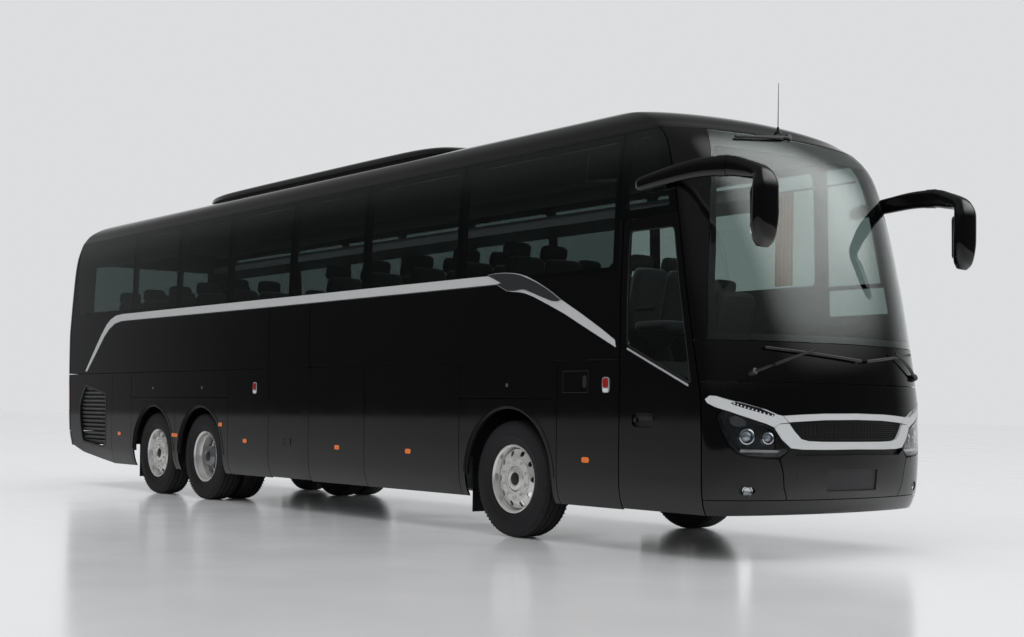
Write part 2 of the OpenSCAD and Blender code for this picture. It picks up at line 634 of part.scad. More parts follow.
// Lower side panels, drawn on the left.
module low_panel(x0, x1) {
    g = shut_gap / 2;
    side_strip(x0 + g, x1 - g, skirt_z, seam_z - g, 0, wall_t);
}
module arch(x, r) {
    translate([x, hw + 60, arch_z]) rotate([90, 0, 0]) cylinder(h = 400, r = r, $fn = 96);
    side_hole(x - r, x + r, 0, arch_z);
}
grille_x0 = grille_panel_fore - 980;
grille_x1 = grille_panel_fore - 240;
grille_z0 = 600;
grille_z1 = 1300;
module grille_outline(in) {
    side_cut([[grille_x0 + in, grille_z0 + in], [grille_x1 - in, grille_z0 + in],
              [grille_x1 + 12 - in, grille_z1 - in], [grille_x0 + 20 + in, grille_z1 + 60 - in]]);
}
module skirt_cut() {
    side_cut([[tag_arch_aft - 700, 0], [grille_panel_fore, skirt_z], [tail_x + 200, skirt_rise + 30], [tail_x, 0]]);
}
fixed_fore = [[front_arch_aft, front_arch_fore], [front_arch_fore, door_rear - shut_gap / 2]];
fixed_aft = [[drive_arch_fore, mid_door_aft], [between_arches, drive_arch_fore], [tag_arch_aft, between_arches],
    [grille_panel_fore, tag_arch_aft], [tail_x, grille_panel_fore]];
module lower_side(edges) {
    intersection() {
        difference() {
            for (e = edges) low_panel(e[0], e[1]);
            arch(0, front_arch_r);
            arch(drive_x, rear_arch_r);
            arch(tag_x, rear_arch_r);
            grille_outline(0);
            skirt_cut();
        }
        between_corners(shut_gap);
    }
}
module right_lower_panels() {
    color(paint) place() mirror([0, 1, 0]) lower_side(concat(fixed_fore, fixed_aft));
}
module left_lower_panels() {
    color(paint) place() lower_side(concat([[front_arch_fore, nose_x], fixed_fore[0]], fixed_aft));
}
louvre_count = 14;
module side_grilles() {
    rim_t = 25;
    color(trim_black) place() both_sides() {
        intersection() {
            difference() {
                side_strip(grille_x0, grille_x1 + 20, grille_z0, grille_z1 + 60, 2, wall_t - 5);
                grille_outline(rim_t);
            }
            grille_outline(0.3);
        }
        for (i = [0:louvre_count - 1]) {
            z = grille_z0 + rim_t + 12 + i * (grille_z1 - grille_z0 - 2 * rim_t - 8) / louvre_count;
            translate([grille_x0 + rim_t - 4, hw - 30, z]) rotate([35, 0, 0])
                cube([grille_x1 - grille_x0 - 2 * rim_t + 8, 6, 34]);
        }
    }
}
module flap(i, side) {
    g = shut_gap / 2;
    on_side(side) side_strip(flap_edges[i + 1] + g, flap_edges[i] - g, skirt_z, seam_z - g, 0, wall_t);
}
module right_luggage_flap_1() { color(paint) place() flap(0, -1); }
module right_luggage_flap_2() { color(paint) place() flap(1, -1); }
module left_luggage_flap_1() { color(paint) place() flap(0, 1); }
module left_luggage_flap_2() { color(paint) place() flap(1, 1); }
module left_luggage_flap_3() { color(paint) place() flap(2, 1); }

// Doors. Each swings parallel to the side on an arm whose post stands inside the doorway.
arm_z = [760, 1150];
arm_t = 30;
arm_y = hw - 125;
front_post_x = corner(1235) - 85;
front_pin_x = door_rear + 110;
mid_post_x = mid_door_aft + 90;
mid_pin_x = mid_door_fore - 120;
function door_glass(in) = [[door_rear + 75 + in, 1671 + in], [corner(1346) - 85 - in, 1346 + in],
    [corner(1700) - 85 - in, 1700], [corner(2590) - 60 - in, 2590 - in], [door_rear + 75 + in, 2590 - in]];
arm_base = 600;
arm_head = 1250;
pin_len = 50;
// The brackets that hold a door's post, each with its pin in the post's end.
module post_pin(x, z) { translate([x, -arm_y, z]) cylinder(h = pin_len, r = door_post_r, $fn = 48); }
module front_post_base() {
    block([front_post_x - 40, -arm_y - 40, arm_base - 80], [front_post_x + 40, -front_rail_y + rail_w, arm_base - seat_gap]);
    block([front_post_x - 40, -front_rail_y, arm_base - 80], [front_post_x + 40, -front_rail_y + rail_w, rail_bottom]);
    post_pin(front_post_x, arm_base - seat_gap);
}
module mid_post_base() {
    block([mid_post_x - 40, -arm_y - 40, bay_z + bay_t], [mid_post_x + 40, -arm_y + 40, arm_base - seat_gap]);
    post_pin(mid_post_x, arm_base - seat_gap);
    block([mid_wall_aft + bay_t, -arm_y - 40, arm_head + seat_gap], [mid_post_x + 40, -arm_y + 40, arm_head + 60]);
    post_pin(mid_post_x, arm_head + seat_gap - pin_len);
}
module front_post_head() {
    block([front_post_x - 200, -arm_y - 40, arm_head + seat_gap], [front_post_x + 40, -arm_y + 40, arm_head + 60]);
    block([front_post_x - 200, -arm_y + 40, arm_head + seat_gap], [front_post_x - 100, dash_right, arm_head + 60]);
    post_pin(front_post_x, arm_head + seat_gap - pin_len);
}
module hinge_lug(x, z) {
    difference() {
        union() {
            translate([x, arm_y, z]) cylinder(h = arm_t, r = door_pin_r + 15, $fn = 48);
            block([x - 20, arm_y + 5, z], [x + 20, inner_y, z + arm_t]);
        }
        translate([x, arm_y, z - fudge]) cylinder(h = arm_t + 2 * fudge, r = door_pin_r + run_clear, $fn = 48);
    }
}
module front_door() {
    g = shut_gap;
    color(paint) place() mirror([0, 1, 0]) {
        intersection() {
            difference() {
                side_strip(door_rear, nose_x, skirt_z + 10, door_top, 0, wall_t);
                side_cut(door_glass(0));
            }
            between_corners(g);
        }
        for (z = arm_z) hinge_lug(front_pin_x, z - arm_t - seat_gap);
    }
}
module front_door_glass() {
    color(glass_grey) place() mirror([0, 1, 0]) intersection() {
        side_strip(door_rear, nose_x, 1300, 2620, 2, 12);
        side_cut(door_glass(0.3));
    }
}
// A post with two arms; x is the post, pin the far end where the door hangs.
module door_arm(x, pin, z0, z1) {
    difference() {
        union() {
            translate([x, arm_y, z0]) cylinder(h = z1 - z0, r = door_post_r + 12, $fn = 48);
            for (z = arm_z) {
                block([min(x, pin), arm_y - 18, z], [max(x, pin), arm_y + 18, z + arm_t]);
                translate([pin, arm_y, z]) cylinder(h = arm_t, r = 24, $fn = 48);
            }
        }
        translate([x, arm_y, z0 - fudge]) cylinder(h = 60, r = door_post_r + run_clear, $fn = 48);
        translate([x, arm_y, z1 - 59]) cylinder(h = 60, r = door_post_r + run_clear, $fn = 48);
    }
    for (z = arm_z) translate([pin, arm_y, z - arm_t]) cylinder(h = arm_t + fudge, r = door_pin_r, $fn = 48);
}
module front_door_arm() {
    color(steel) place() mirror([0, 1, 0]) door_arm(front_post_x, front_pin_x, arm_base, arm_head);
}
module mid_door() {
    g = shut_gap;
    color(paint) place() mirror([0, 1, 0]) {
        side_strip(mid_door_aft + g / 2, mid_door_fore - g / 2, skirt_z + 10, mid_door_top, 0, wall_t);
        for (z = arm_z) hinge_lug(mid_pin_x, z - arm_t - seat_gap);
    }
}
module mid_door_arm() {
    color(steel) place() mirror([0, 1, 0]) door_arm(mid_post_x, mid_pin_x, arm_base, arm_head);
}

// Front.
bumper_top = 853;
lamp_top = 1298;
screen_z = 1690;
lamp_y = 600;
full_n = 24;
module front_bumper() {
    zs = rows(skirt_z, bumper_top);
    color(paint) place() front_wall(zs, same(-90, zs), same(90, zs), wall_t, full_n);
}
module front_grille() {
    zs = rows(bumper_top, lamp_top);
    color(trim_black) place()
        front_wall(zs, [for (z = zs) front_angle(z, -lamp_y)], [for (z = zs) front_angle(z, lamp_y)], wall_t, 10);
}
module headlamps() {
    zs = rows(bumper_top, lamp_top);
    color(silver) place() both_sides()
        front_wall(zs, [for (z = zs) front_angle(z, lamp_y + 2)], same(90, zs), wall_t, 10);
}
module front_panel() {
    zs = rows(lamp_top, screen_z);
    color(paint) place() front_wall(zs, same(-90, zs), same(90, zs), wall_t, full_n);
}
// Where the windscreen meets its pillars: height, distance from the middle.
pillar_edge = [[1690, 45], [2200, 95], [2700, 160], [3100, 240], [3406, 330]];
function glass_y(z) = half(z) - lookup(z, pillar_edge);
module windscreen_pillars() {
    zs = rows(screen_z, top_z);
    color(paint) place() both_sides()
        front_wall(zs, [for (z = zs) front_angle(z, glass_y(z) + 3)], same(90, zs), wall_t, 6);
}
module windscreen() {
    zs = rows(screen_z, glass_top);
    color(clear_glass) place()
        front_wall(zs, [for (z = zs) front_angle(z, -glass_y(z))], [for (z = zs) front_angle(z, glass_y(z))], screen_t, 18);
}

// Rear.
rear_glass_y = 900;
rear_glass_z = [2380, 3150];
module rear_wall() {
    zs = rows(seam_z + shut_gap / 2, top_z);
    color(paint) place() difference() {
        rear_piece(zs, same(-90, zs), same(90, zs), wall_t, full_n);
        block([tail_x - 100, -rear_glass_y, rear_glass_z[0]], [tail_x + 600, rear_glass_y, rear_glass_z[1]]);
    }
}
module rear_window() {
    zs = rows(rear_glass_z[0] + 0.3, rear_glass_z[1] - 0.3);
    edge = rear_glass_y - 0.3;
    color(glass_grey) place()
        rear_piece(zs, [for (z = zs) rear_angle(z, -edge)], [for (z = zs) rear_angle(z, edge)], screen_t, 12);
}
module rear_bumper() {
    zs = rows(skirt_rise, lid_z0 - shut_gap);
    color(paint) place() rear_piece(zs, same(-90, zs), same(90, zs), wall_t, full_n);
}
module rear_corners() {
    zs = rows(lid_z0 - shut_gap, seam_z + shut_gap / 2);
    color(paint) place() both_sides()
        rear_piece(zs, [for (z = zs) rear_angle(z, lid_y + shut_gap)], same(90, zs), wall_t, 10);
}
module engine_lid() {
    zs = rows(lid_z0, seam_z - shut_gap / 2);
    color(paint) place()
        rear_piece(zs, [for (z = zs) rear_angle(z, -lid_y)], [for (z = zs) rear_angle(z, lid_y)], wall_t, 14);
}

// Small parts on the front and roof.
mirror_y = hw - 60;
mirror_out_y = hw + 35;
mirror_low = 2360;
mirror_depth = 110;
module mirror_left() {
    head_x = mirror_front - mirror_depth / 2;
    path = [[1700, mirror_out_y, 2930], [1740, mirror_out_y, 2940], [2100, mirror_out_y, 2985], [2400, mirror_out_y - 20, 3010],
        [2650, mirror_out_y - 50, 3000], [2800, mirror_out_y - 75, 2960], [head_x - 30, mirror_y, 2900], [head_x, mirror_y, 2800],
        [head_x, mirror_y, 2600], [head_x - 15, mirror_y, 2420], [head_x - 30, mirror_y, mirror_low]];
    swept(path, [30, 60, 64, 66, 80, 110, 180, 240, 250, 200, 100],
          [40, 70, 74, 76, 84, 95, 105, mirror_depth, mirror_depth, 100, 60], 12);
    block([1900, half(2925) + seat_gap, 2925], [2000, mirror_out_y - 25, 2985]);
}
module mirrors() { color("#3a3b3e") place() both_sides() mirror_left(); }
spot_depth = 25;
module front_spot(z, y, out) {
    translate([front_x(z, y) - spot_depth, y, z]) rotate([0, 90, 0]) cylinder(h = out + spot_depth, r = 12, $fn = 32);
}
function off_glass(z, y, out) = [front_x(z, y) + out, y, z];
// Points as [z, y, distance off the glass]: the arm from its pivot to the middle of its blade, and the blade.
wipers_at = [
    [[[1450, -960, 35], [1545, -700, 45], [1640, -420, 45]], [[1640, -850, 45], [1600, -400, 45], [1560, 40, 50]]],
    [[[1450, 960, 35], [1545, 770, 45], [1640, 560, 45]], [[1640, 900, 45], [1600, 510, 45], [1560, 120, 50]]],
    [[[3420, 0, 34], [3380, -420, 40]], [[3400, -100, 45], [3350, -640, 45]]]];
module bars(path, w, h) {
    at = [for (p = path) off_glass(p[0], p[1], p[2])];
    for (i = [1:len(at) - 1]) bar(at[i - 1], at[i], w, h);
}
module wipers() {
    color(trim_black) {
        difference() {
            place() for (w = wipers_at) let (pivot = w[0][0]) front_spot(pivot[0], pivot[1], pivot[2] + 5);
            front_panel();
            roof_panel();
        }
        place() for (w = wipers_at) {
            bars(w[0], 24, 14);
            bars(w[1], 20, 20);
        }
    }
}
antenna_x = nose_x - 870;
antenna_foot = 40;
function roof_z(x) = lookup(x, [for (i = [len(roof_zs) - 1:-1:0]) [nose(roof_zs[i]), roof_zs[i]]]);
module antenna() {
    z = roof_z(antenna_x);
    sunk = z + 15;
    color(trim_black) difference() {
        place() {
            translate([antenna_x, 30, z]) rotate([90, 0, 0]) linear_extrude(60)
                polygon([[-antenna_foot, roof_z(antenna_x - antenna_foot) - sunk],
                         [antenna_foot, roof_z(antenna_x + antenna_foot) - sunk], [10, 40], [-10, 45]]);
            translate([antenna_x, 0, z]) cylinder(h = antenna_h, r = 4, $fn = 24);
        }
        roof_panel();
    }
}

// Interior.
row_x1 = front_well_x - 750;
row_count = 12;
seat_z = floor_z + 430;
module seat_pair(x) {
    w = seat_pair_w;
    translate([x, 0, 0]) {
        block([-430, 0, seat_z - 110], [40, w, seat_z]);
        translate([0, w, 0]) rotate([90, 0, 0]) linear_extrude(w)
            polygon([[-430, seat_z - 60], [-330, seat_z - 60], [-500, floor_z + seat_back_h], [-590, floor_z + seat_back_h]]);
        for (y = [120, w - 160]) block([-280, y, floor_z], [-200, y + 40, seat_z - 110]);
    }
}
module passenger_seats() {
    color(cloth) place() for (i = [0:row_count - 1]) {
        x = row_x1 - i * seat_pitch;
        translate([0, inner_y - 25 - seat_pair_w, 0]) seat_pair(x);
        if (x - 600 > mid_door_fore || x + 60 < mid_door_aft)
            mirror([0, 1, 0]) translate([0, inner_y - 25 - seat_pair_w, 0]) seat_pair(x);
    }
}
driver_y = 620;
module driver_seat() {
    z = platform_z;
    color(cloth) place() translate([1350, driver_y, 0]) {
        block([-180, -150, z], [180, 150, z + 330]);
        block([-250, -260, z + 330], [270, 260, z + 440]);
        translate([0, 240, 0]) rotate([90, 0, 0]) linear_extrude(480)
            polygon([[-250, z + 440], [-140, z + 440], [-230, z + 1180], [-320, z + 1180]]);
    }
}
dash_top = 1720;
dash_left = inner_y - 60;
dash_right = dash_left - 1500;
wheel_tilt = 55;
column_at = [nose_x - 970, driver_y, 1545];
column_r = 20;
hub_z = 45;
module dashboard() {
    color("#6d7072") place() {
        translate([nose_x - 2870, dash_left, 0]) rotate([90, 0, 0]) linear_extrude(dash_left - dash_right)
            polygon([[1960, platform_z], [2160, platform_z], [2300, 1600], [2290, 1690], [2040, dash_top], [1930, 1520]]);
        translate(column_at) rotate([0, -wheel_tilt, 0]) {
            translate([0, 0, -160]) cylinder(h = 160 + hub_z - seat_gap, r = 35, $fn = 48);
            cylinder(h = hub_z + 25, r = column_r, $fn = 48);
        }
        front_post_head();
    }
}
module steering_wheel() {
    color(trim_black) place() translate(column_at) rotate([0, -wheel_tilt, 0]) {
        translate([0, 0, hub_z + 25]) rotate_extrude($fn = 96) translate([steering_d / 2 - 15, 0]) circle(r = 15, $fn = 24);
        for (a = [0, 120, 240]) rotate(a) block([30, -18, hub_z + 10], [steering_d / 2 - 20, 18, hub_z + 26]);
        difference() {
            translate([0, 0, hub_z]) cylinder(h = 45, r = 60, $fn = 48);
            translate([0, 0, hub_z - fudge]) cylinder(h = 30, r = column_r + run_clear, $fn = 48);
        }
    }
}
rack_depth = 420;
rack_t = 25;
module luggage_racks() {
    o = wall_t;
    color("#8d9093") place() both_sides() translate([tail_x + 600, 0, 0]) rotate([90, 0, 90])
        linear_extrude(front_well_x - tail_x - 700) polygon([
            [half(3060) - o, 3060], [half(3200) - o, 3200], [half(3300) - o, 3300], [half(3300) - o - rack_t, 3300],
            [half(3200) - o - rack_t, 3200], [half(3085) - o - rack_t, 3060 + rack_t],
            [half(3060) - o - rack_depth + rack_t, 3110 + rack_t], [half(3060) - o - rack_depth + rack_t, 3190],
            [half(3060) - o - rack_depth, 3190], [half(3060) - o - rack_depth, 3110]]);
}

chassis_frame();
luggage_bay();
cabin_floor();
wheel_housings();
front_axle_beam();
drive_axle_housing();
tag_axle_beam();
air_springs();
engine_block();
roof_panel();
roof_aircon();
right_side_wall();
left_side_wall();
side_glazing();
right_lower_panels();
left_lower_panels();
side_grilles();
windscreen();
windscreen_pillars();
front_panel();
front_grille();
headlamps();
front_bumper();
rear_wall();
rear_window();
rear_corners();
rear_bumper();
engine_lid();
mirrors();
wipers();
antenna();
passenger_seats();
driver_seat();
dashboard();
steering_wheel();
luggage_racks();
front_door();
front_door_glass();
front_door_arm();
mid_door();
mid_door_arm();
right_luggage_flap_1();
right_luggage_flap_2();
left_luggage_flap_1();
left_luggage_flap_2();
left_luggage_flap_3();
right_knuckle();
left_knuckle();
front_tyre_right();
front_tyre_left();
front_rim_right();
front_rim_left();
drive_tyres_right();
drive_tyres_left();
drive_rims_right();
drive_rims_left();
tag_tyre_right();
tag_tyre_left();
tag_rim_right();
tag_rim_left();
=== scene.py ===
import bpy
import math
import numpy as np
from mathutils import Matrix, Vector
from mathutils.geometry import delaunay_2d_cdt


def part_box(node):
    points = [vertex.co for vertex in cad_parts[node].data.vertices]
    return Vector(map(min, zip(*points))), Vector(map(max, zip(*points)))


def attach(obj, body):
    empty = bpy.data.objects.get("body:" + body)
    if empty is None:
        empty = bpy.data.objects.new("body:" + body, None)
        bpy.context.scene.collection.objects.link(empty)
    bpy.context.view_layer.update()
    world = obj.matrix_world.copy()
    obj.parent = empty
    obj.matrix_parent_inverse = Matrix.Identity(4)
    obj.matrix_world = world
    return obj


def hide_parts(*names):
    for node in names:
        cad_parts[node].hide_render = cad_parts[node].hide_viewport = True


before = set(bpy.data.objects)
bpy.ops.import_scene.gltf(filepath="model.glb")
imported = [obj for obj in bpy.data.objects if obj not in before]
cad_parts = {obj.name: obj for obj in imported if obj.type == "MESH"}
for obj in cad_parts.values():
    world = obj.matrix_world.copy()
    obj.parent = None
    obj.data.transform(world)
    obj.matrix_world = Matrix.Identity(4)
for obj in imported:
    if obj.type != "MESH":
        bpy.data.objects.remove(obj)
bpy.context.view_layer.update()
scene = bpy.context.scene

# Camera: at eye height beside the entrance corner of the coach, level, with a small shift
# down that keeps the sides upright and a trace of roll from a hand-held stand.
eye_heading = math.radians(37.90)
eye_roll = math.radians(0.786)
look = Vector((-math.cos(eye_heading), math.sin(eye_heading), 0))
across = Vector((math.sin(eye_heading), math.cos(eye_heading), 0))
up = Vector((0, 0, 1))
eye = bpy.data.cameras.new("eye")
eye.sensor_width = 36
eye.lens = 52.13
eye.shift_y = 0.0894
eye.clip_end = 400
camera = bpy.data.objects.new("eye", eye)
scene.collection.objects.link(camera)
camera.matrix_world = Matrix.Translation((14.1305, -9.329, 1.135)) @ Matrix((
    across * math.cos(eye_roll) + up * math.sin(eye_roll),
    up * math.cos(eye_roll) - across * math.sin(eye_roll),
    -look)).transposed().to_4x4()
scene.camera = camera


# Studio: a painted concrete floor with a satin sealer, a white ceiling of soft light panels, and
# pale walls that the paintwork reflects. None of it belongs to the coach.
def node(tree, kind, settings=None, links=None):
    made = tree.nodes.new(kind)
    for key, value in (settings or {}).items():
        if isinstance(key, int) or key in made.inputs:
            made.inputs[key].default_value = value
        else:
            setattr(made, key, value)
    for key, source in (links or {}).items():
        tree.links.new(source, made.inputs[key])
    return made


def linear(code):
    """An sRGB hex colour as linear red, green, blue and alpha."""
    parts = [int(code[i:i + 2], 16) / 255 for i in (1, 3, 5)]
    return [p / 12.92 if p <= 0.04045 else ((p + 0.055) / 1.055) ** 2.4 for p in parts] + [1.0]


def coating(name, colour, roughness, grain_mm, depth_mm, spread, fleck=0.0, **sockets):
    """A Principled material whose roughness, shade and relief vary by a noise of a real size."""
    made = bpy.data.materials.new(name)
    made.use_nodes = True
    tree = made.node_tree
    shader = tree.nodes["Principled BSDF"]
    shader.inputs["Base Color"].default_value = linear(colour)
    for key, value in sockets.items():
        shader.inputs[key.replace("_", " ")].default_value = value
    place = node(tree, "ShaderNodeTexCoord")
    grain = node(tree, "ShaderNodeTexNoise", {"Scale": 1000 / grain_mm, "Detail": 3.0},
        {"Vector": place.outputs["Object"]})
    wear = node(tree, "ShaderNodeMapRange", {"From Min": 0.3, "From Max": 0.7,
        "To Min": max(0.0, roughness - spread), "To Max": roughness + spread},
        {"Value": grain.outputs["Fac"]})
    tree.links.new(wear.outputs["Result"], shader.inputs["Roughness"])
    if fleck:
        patch = node(tree, "ShaderNodeTexNoise", {"Scale": 120 / grain_mm, "Detail": 4.0},
            {"Vector": place.outputs["Object"]})
        shade = node(tree, "ShaderNodeMapRange", {"From Min": 0.3, "From Max": 0.7,
            "To Min": 1 - fleck, "To Max": 1 + fleck}, {"Value": patch.outputs["Fac"]})
        tint = node(tree, "ShaderNodeVectorMath", {"operation": "SCALE", 0: linear(colour)[:3]},
            {"Scale": shade.outputs["Result"]})
        tree.links.new(tint.outputs["Vector"], shader.inputs["Base Color"])
    if depth_mm:
        bump = node(tree, "ShaderNodeBump", {"Strength": 0.5, "Distance": depth_mm / 1000},
            {"Height": grain.outputs["Fac"]})
        tree.links.new(bump.outputs["Normal"], shader.inputs["Normal"])
    return made


# Sealer on trowelled concrete: a broad, slightly soft mirror of the coach.
sealed_floor = coating("sealed_concrete_floor", "#ececed", 0.17, 900, 0.0, 0.02, 0.01)
floor_mesh = bpy.data.meshes.new("studio_floor")
floor_mesh.from_pydata([(-160, -160, 0), (160, -160, 0), (160, 160, 0), (-160, 160, 0)], [],
    [(0, 1, 2, 3)])
floor_mesh.materials.append(sealed_floor)
floor = bpy.data.objects.new("studio_floor", floor_mesh)
scene.collection.objects.link(floor)

scene.world = bpy.data.worlds.new("studio")
scene.world.use_nodes = True
sky = scene.world.node_tree
sky.nodes.clear()
path = node(sky, "ShaderNodeLightPath")
direction = node(sky, "ShaderNodeTexCoord")
parts = node(sky, "ShaderNodeSeparateXYZ", links={"Vector": direction.outputs["Generated"]})
# Behind the coach the wall is pale; beside and ahead of it hangs dark curtain, which the paint
# reflects, and one light panel overhead shows in the windscreen.
behind = node(sky, "ShaderNodeVectorMath", {"operation": "DOT_PRODUCT", 1: (-0.79, 0.61, 0.0)},
    {0: direction.outputs["Generated"]})
curtain = node(sky, "ShaderNodeMapRange", {"interpolation_type": "SMOOTHSTEP", "From Min": 0.38,
    "From Max": 0.85, "To Min": 0.045, "To Max": 0.8}, {"Value": behind.outputs["Value"]})
ceiling = node(sky, "ShaderNodeMapRange", {"interpolation_type": "SMOOTHSTEP", "From Min": 0.15,
    "From Max": 0.5, "To Min": 0.0, "To Max": 1.0}, {"Value": parts.outputs["Z"]})
panel = node(sky, "ShaderNodeVectorMath", {"operation": "DOT_PRODUCT", 1: (0.50, 0.66, 0.56)},
    {0: direction.outputs["Generated"]})
overhead = node(sky, "ShaderNodeMapRange", {"interpolation_type": "SMOOTHSTEP", "From Min": 0.80,
    "From Max": 0.97, "To Min": 0.20, "To Max": 2.6}, {"Value": panel.outputs["Value"]})
wall = node(sky, "ShaderNodeMix", {"data_type": "FLOAT"},
    {0: ceiling.outputs["Result"], 2: curtain.outputs["Result"], 3: overhead.outputs["Result"]})
soft = node(sky, "ShaderNodeMix", {"data_type": "FLOAT", 2: 0.92},
    {0: path.outputs["Is Glossy Ray"], 3: wall.outputs[0]})
plain = node(sky, "ShaderNodeMix", {"data_type": "FLOAT", 3: 0.78},
    {0: path.outputs["Is Camera Ray"], 2: soft.outputs[0]})
studio_air = node(sky, "ShaderNodeBackground", {"Color": (0.92, 0.93, 0.94, 1)},
    {"Strength": plain.outputs[0]})
node(sky, "ShaderNodeOutputWorld", links={"Surface": studio_air.outputs[0]})


def lamp(name, place, aim, size, power, spread=math.pi):
    light = bpy.data.lights.new(name, "AREA")
    light.shape = "RECTANGLE"
    light.size, light.size_y = size
    light.energy = power
    light.spread = spread
    made = bpy.data.objects.new(name, light)
    scene.collection.objects.link(made)
    made.location = place
    made.rotation_mode = "QUATERNION"
    made.rotation_quaternion = (Vector(aim) - Vector(place)).to_track_quat("-Z", "Y")
    made.visible_glossy = made.visible_transmission = False
    return made


lamp("ceiling_panel", (1, -3, 11), (0, 0, 0), (18, 12), 420)
lamp("front_panel_light", (15, 3, 7), (6, 0, 1.5), (6, 5), 90)
lamp("cabin_front_light", (5.9, 0.3, 3.3), (5.6, 0.2, 1.0), (0.7, 1.6), 26)
lamp("cabin_aisle_light", (-1.0, 0.0, 3.5), (-1.0, 0.0, 1.0), (9.5, 0.4), 60)
scene.view_settings.view_transform = "Standard"

# Roof: one moulded shell from the window line up, sprayed with the same gloss black coach
# enamel as the sides. It is bonded to the roof rails and its crown is almost flat.
front_axle = 3.7075  # from the middle of the coach; other x values are from the front axle
body_half, nose_x, tail_x = 1.275, 2.870, -10.455
roof_seam, roof_top = 3.406, 3.715
# Height, then how far the side, the nose, the front corner and the tail stand in from the widest
# points, and the depth of the rear corner, in millimetres.
sections = np.array([(340, 60, 170, 440, 260, 220), (420, 25, 70, 440, 200, 220),
    (560, 5, 20, 440, 130, 220), (800, 0, 0, 440, 35, 220), (1100, 0, 5, 450, 10, 220),
    (1235, 0, 15, 455, 5, 220), (1400, 0, 25, 488, 0, 220), (1700, 0, 70, 548, 0, 220),
    (2050, 0, 145, 619, 5, 220), (2400, 12, 235, 689, 30, 220), (2700, 25, 335, 750, 60, 220),
    (3000, 36, 460, 820, 105, 220), (3200, 52, 575, 885, 150, 220), (3300, 70, 655, 940, 185, 220),
    (3406, 93, 750, 1050, 240, 220), (3460, 118, 830, 1140, 275, 225),
    (3520, 150, 920, 1240, 330, 240), (3600, 235, 1130, 1480, 480, 300),
    (3650, 345, 1360, 1800, 700, 380), (3690, 515, 1720, 2300, 1150, 520),
    (3715, 775, 2270, 3000, 1850, 650)]) / 1000
fine_z = np.arange(0.340, 3.7151, 0.005)


def eased(xs, ys, at):
    """A smooth curve through points that never swings past them."""
    step = np.diff(xs)
    rise = np.diff(ys) / step
    slope = np.zeros(len(xs))
    slope[0], slope[-1] = rise[0], rise[-1]
    for i in range(1, len(xs) - 1):
        if rise[i - 1] * rise[i] > 0:
            a, b = 2 * step[i] + step[i - 1], step[i] + 2 * step[i - 1]
            slope[i] = (a + b) / (a / rise[i - 1] + b / rise[i])
    k = np.clip(np.searchsorted(xs, at) - 1, 0, len(xs) - 2)
    t = (at - xs[k]) / step[k]
    return ((2 * t ** 3 - 3 * t ** 2 + 1) * ys[k] + (t ** 3 - 2 * t ** 2 + t) * step[k] * slope[k]
            + (3 * t ** 2 - 2 * t ** 3) * ys[k + 1] + (t ** 3 - t ** 2) * step[k] * slope[k + 1])


eased_columns = [eased(sections[:, 0], sections[:, c], fine_z) for c in range(1, 6)]


def inset_at(z, column):
    return np.interp(z, fine_z, eased_columns[column])


def half(z):
    return body_half - inset_at(z, 0)


def corner_x(z):
    return nose_x - inset_at(z, 2)


def tail_corner(z):
    return tail_x + inset_at(z, 3) + inset_at(z, 4)


def front_skin(angle, z, inset):
    """A point on the front at an angle from the middle, -90 degrees on the right."""
    angle, z = np.radians(angle), np.asarray(z, float)
    depth = nose_x - inset_at(z, 1) - inset - corner_x(z)
    return np.stack([corner_x(z) + depth * np.abs(np.cos(angle)) ** (2 / 1.8) + front_axle,
        np.sign(angle) * (half(z) - inset) * np.abs(np.sin(angle)) ** (2 / 1.8), z], -1)


def rear_skin(angle, z, inset):
    angle, z = np.radians(angle), np.asarray(z, float)
    depth = inset_at(z, 4) - inset
    return np.stack([tail_corner(z) - depth * np.abs(np.cos(angle)) ** (2 / 3.5) + front_axle,
        np.sign(angle) * (half(z) - inset) * np.abs(np.sin(angle)) ** (2 / 3.5), z], -1)


def flank(side):
    """The flat side of the body: 1 on the left, -1 on the right; x is from the front axle."""
    return lambda x, z, inset: np.stack([np.asarray(x, float) + front_axle,
        side * (half(z) - inset), np.asarray(z, float)], -1)


right_skin = flank(-1)


def piece(name, shapes, finish, body, *stands_for, sharp=35):
    """One mesh object of (points, faces) shapes, riding on a body of the coach."""
    points, faces = [], []
    for shape_points, shape_faces in shapes:
        base = sum(len(p) for p in points)
        points.append(np.asarray(shape_points, float))
        faces += [[i + base for i in face] for face in shape_faces]
    mesh = bpy.data.meshes.new(name)
    mesh.from_pydata(np.concatenate(points).tolist(), [], faces)
    mesh.validate()
    mesh.polygons.foreach_set("use_smooth", [True] * len(mesh.polygons))
    mesh.set_sharp_from_angle(angle=math.radians(sharp))
    mesh.materials.append(finish)
    made = bpy.data.objects.new(name, mesh)
    scene.collection.objects.link(made)
    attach(made, body)
    if stands_for:
        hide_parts(*stands_for)
    return made


# Sprayed, polished enamel: nearly sharp reflections that waver over a hand's width.
coach_black = coating("coach_enamel_gloss_black", "#060607", 0.05, 260, 0.0, 0.012, 0.0, IOR=1.5)
heights = np.concatenate([np.arange(roof_seam, 3.60, 0.012), np.arange(3.60, 3.69, 0.006),
    np.linspace(3.69, roof_top, 8)])
sweep = np.linspace(-90, 90, 61)
rings = []
for z in heights:
    rings.append(np.concatenate([front_skin(sweep, np.full(61, z), 0),
        rear_skin(-sweep, np.full(61, z), 0)]))
crown = np.array([rings[-1][:, 0].mean(), 0, roof_top])
rings += [crown + (rings[-1] - crown) * share for share in (0.8, 0.5, 0.2)]
ceiling_rings = [ring * (1, (abs(ring[:, 1]).max() - 0.045) / abs(ring[:, 1]).max(), 1)
    - (0, 0, 0.045 * min(1, (ring[0, 2] - roof_seam) / 0.12)) for ring in rings]
around = len(rings[0])


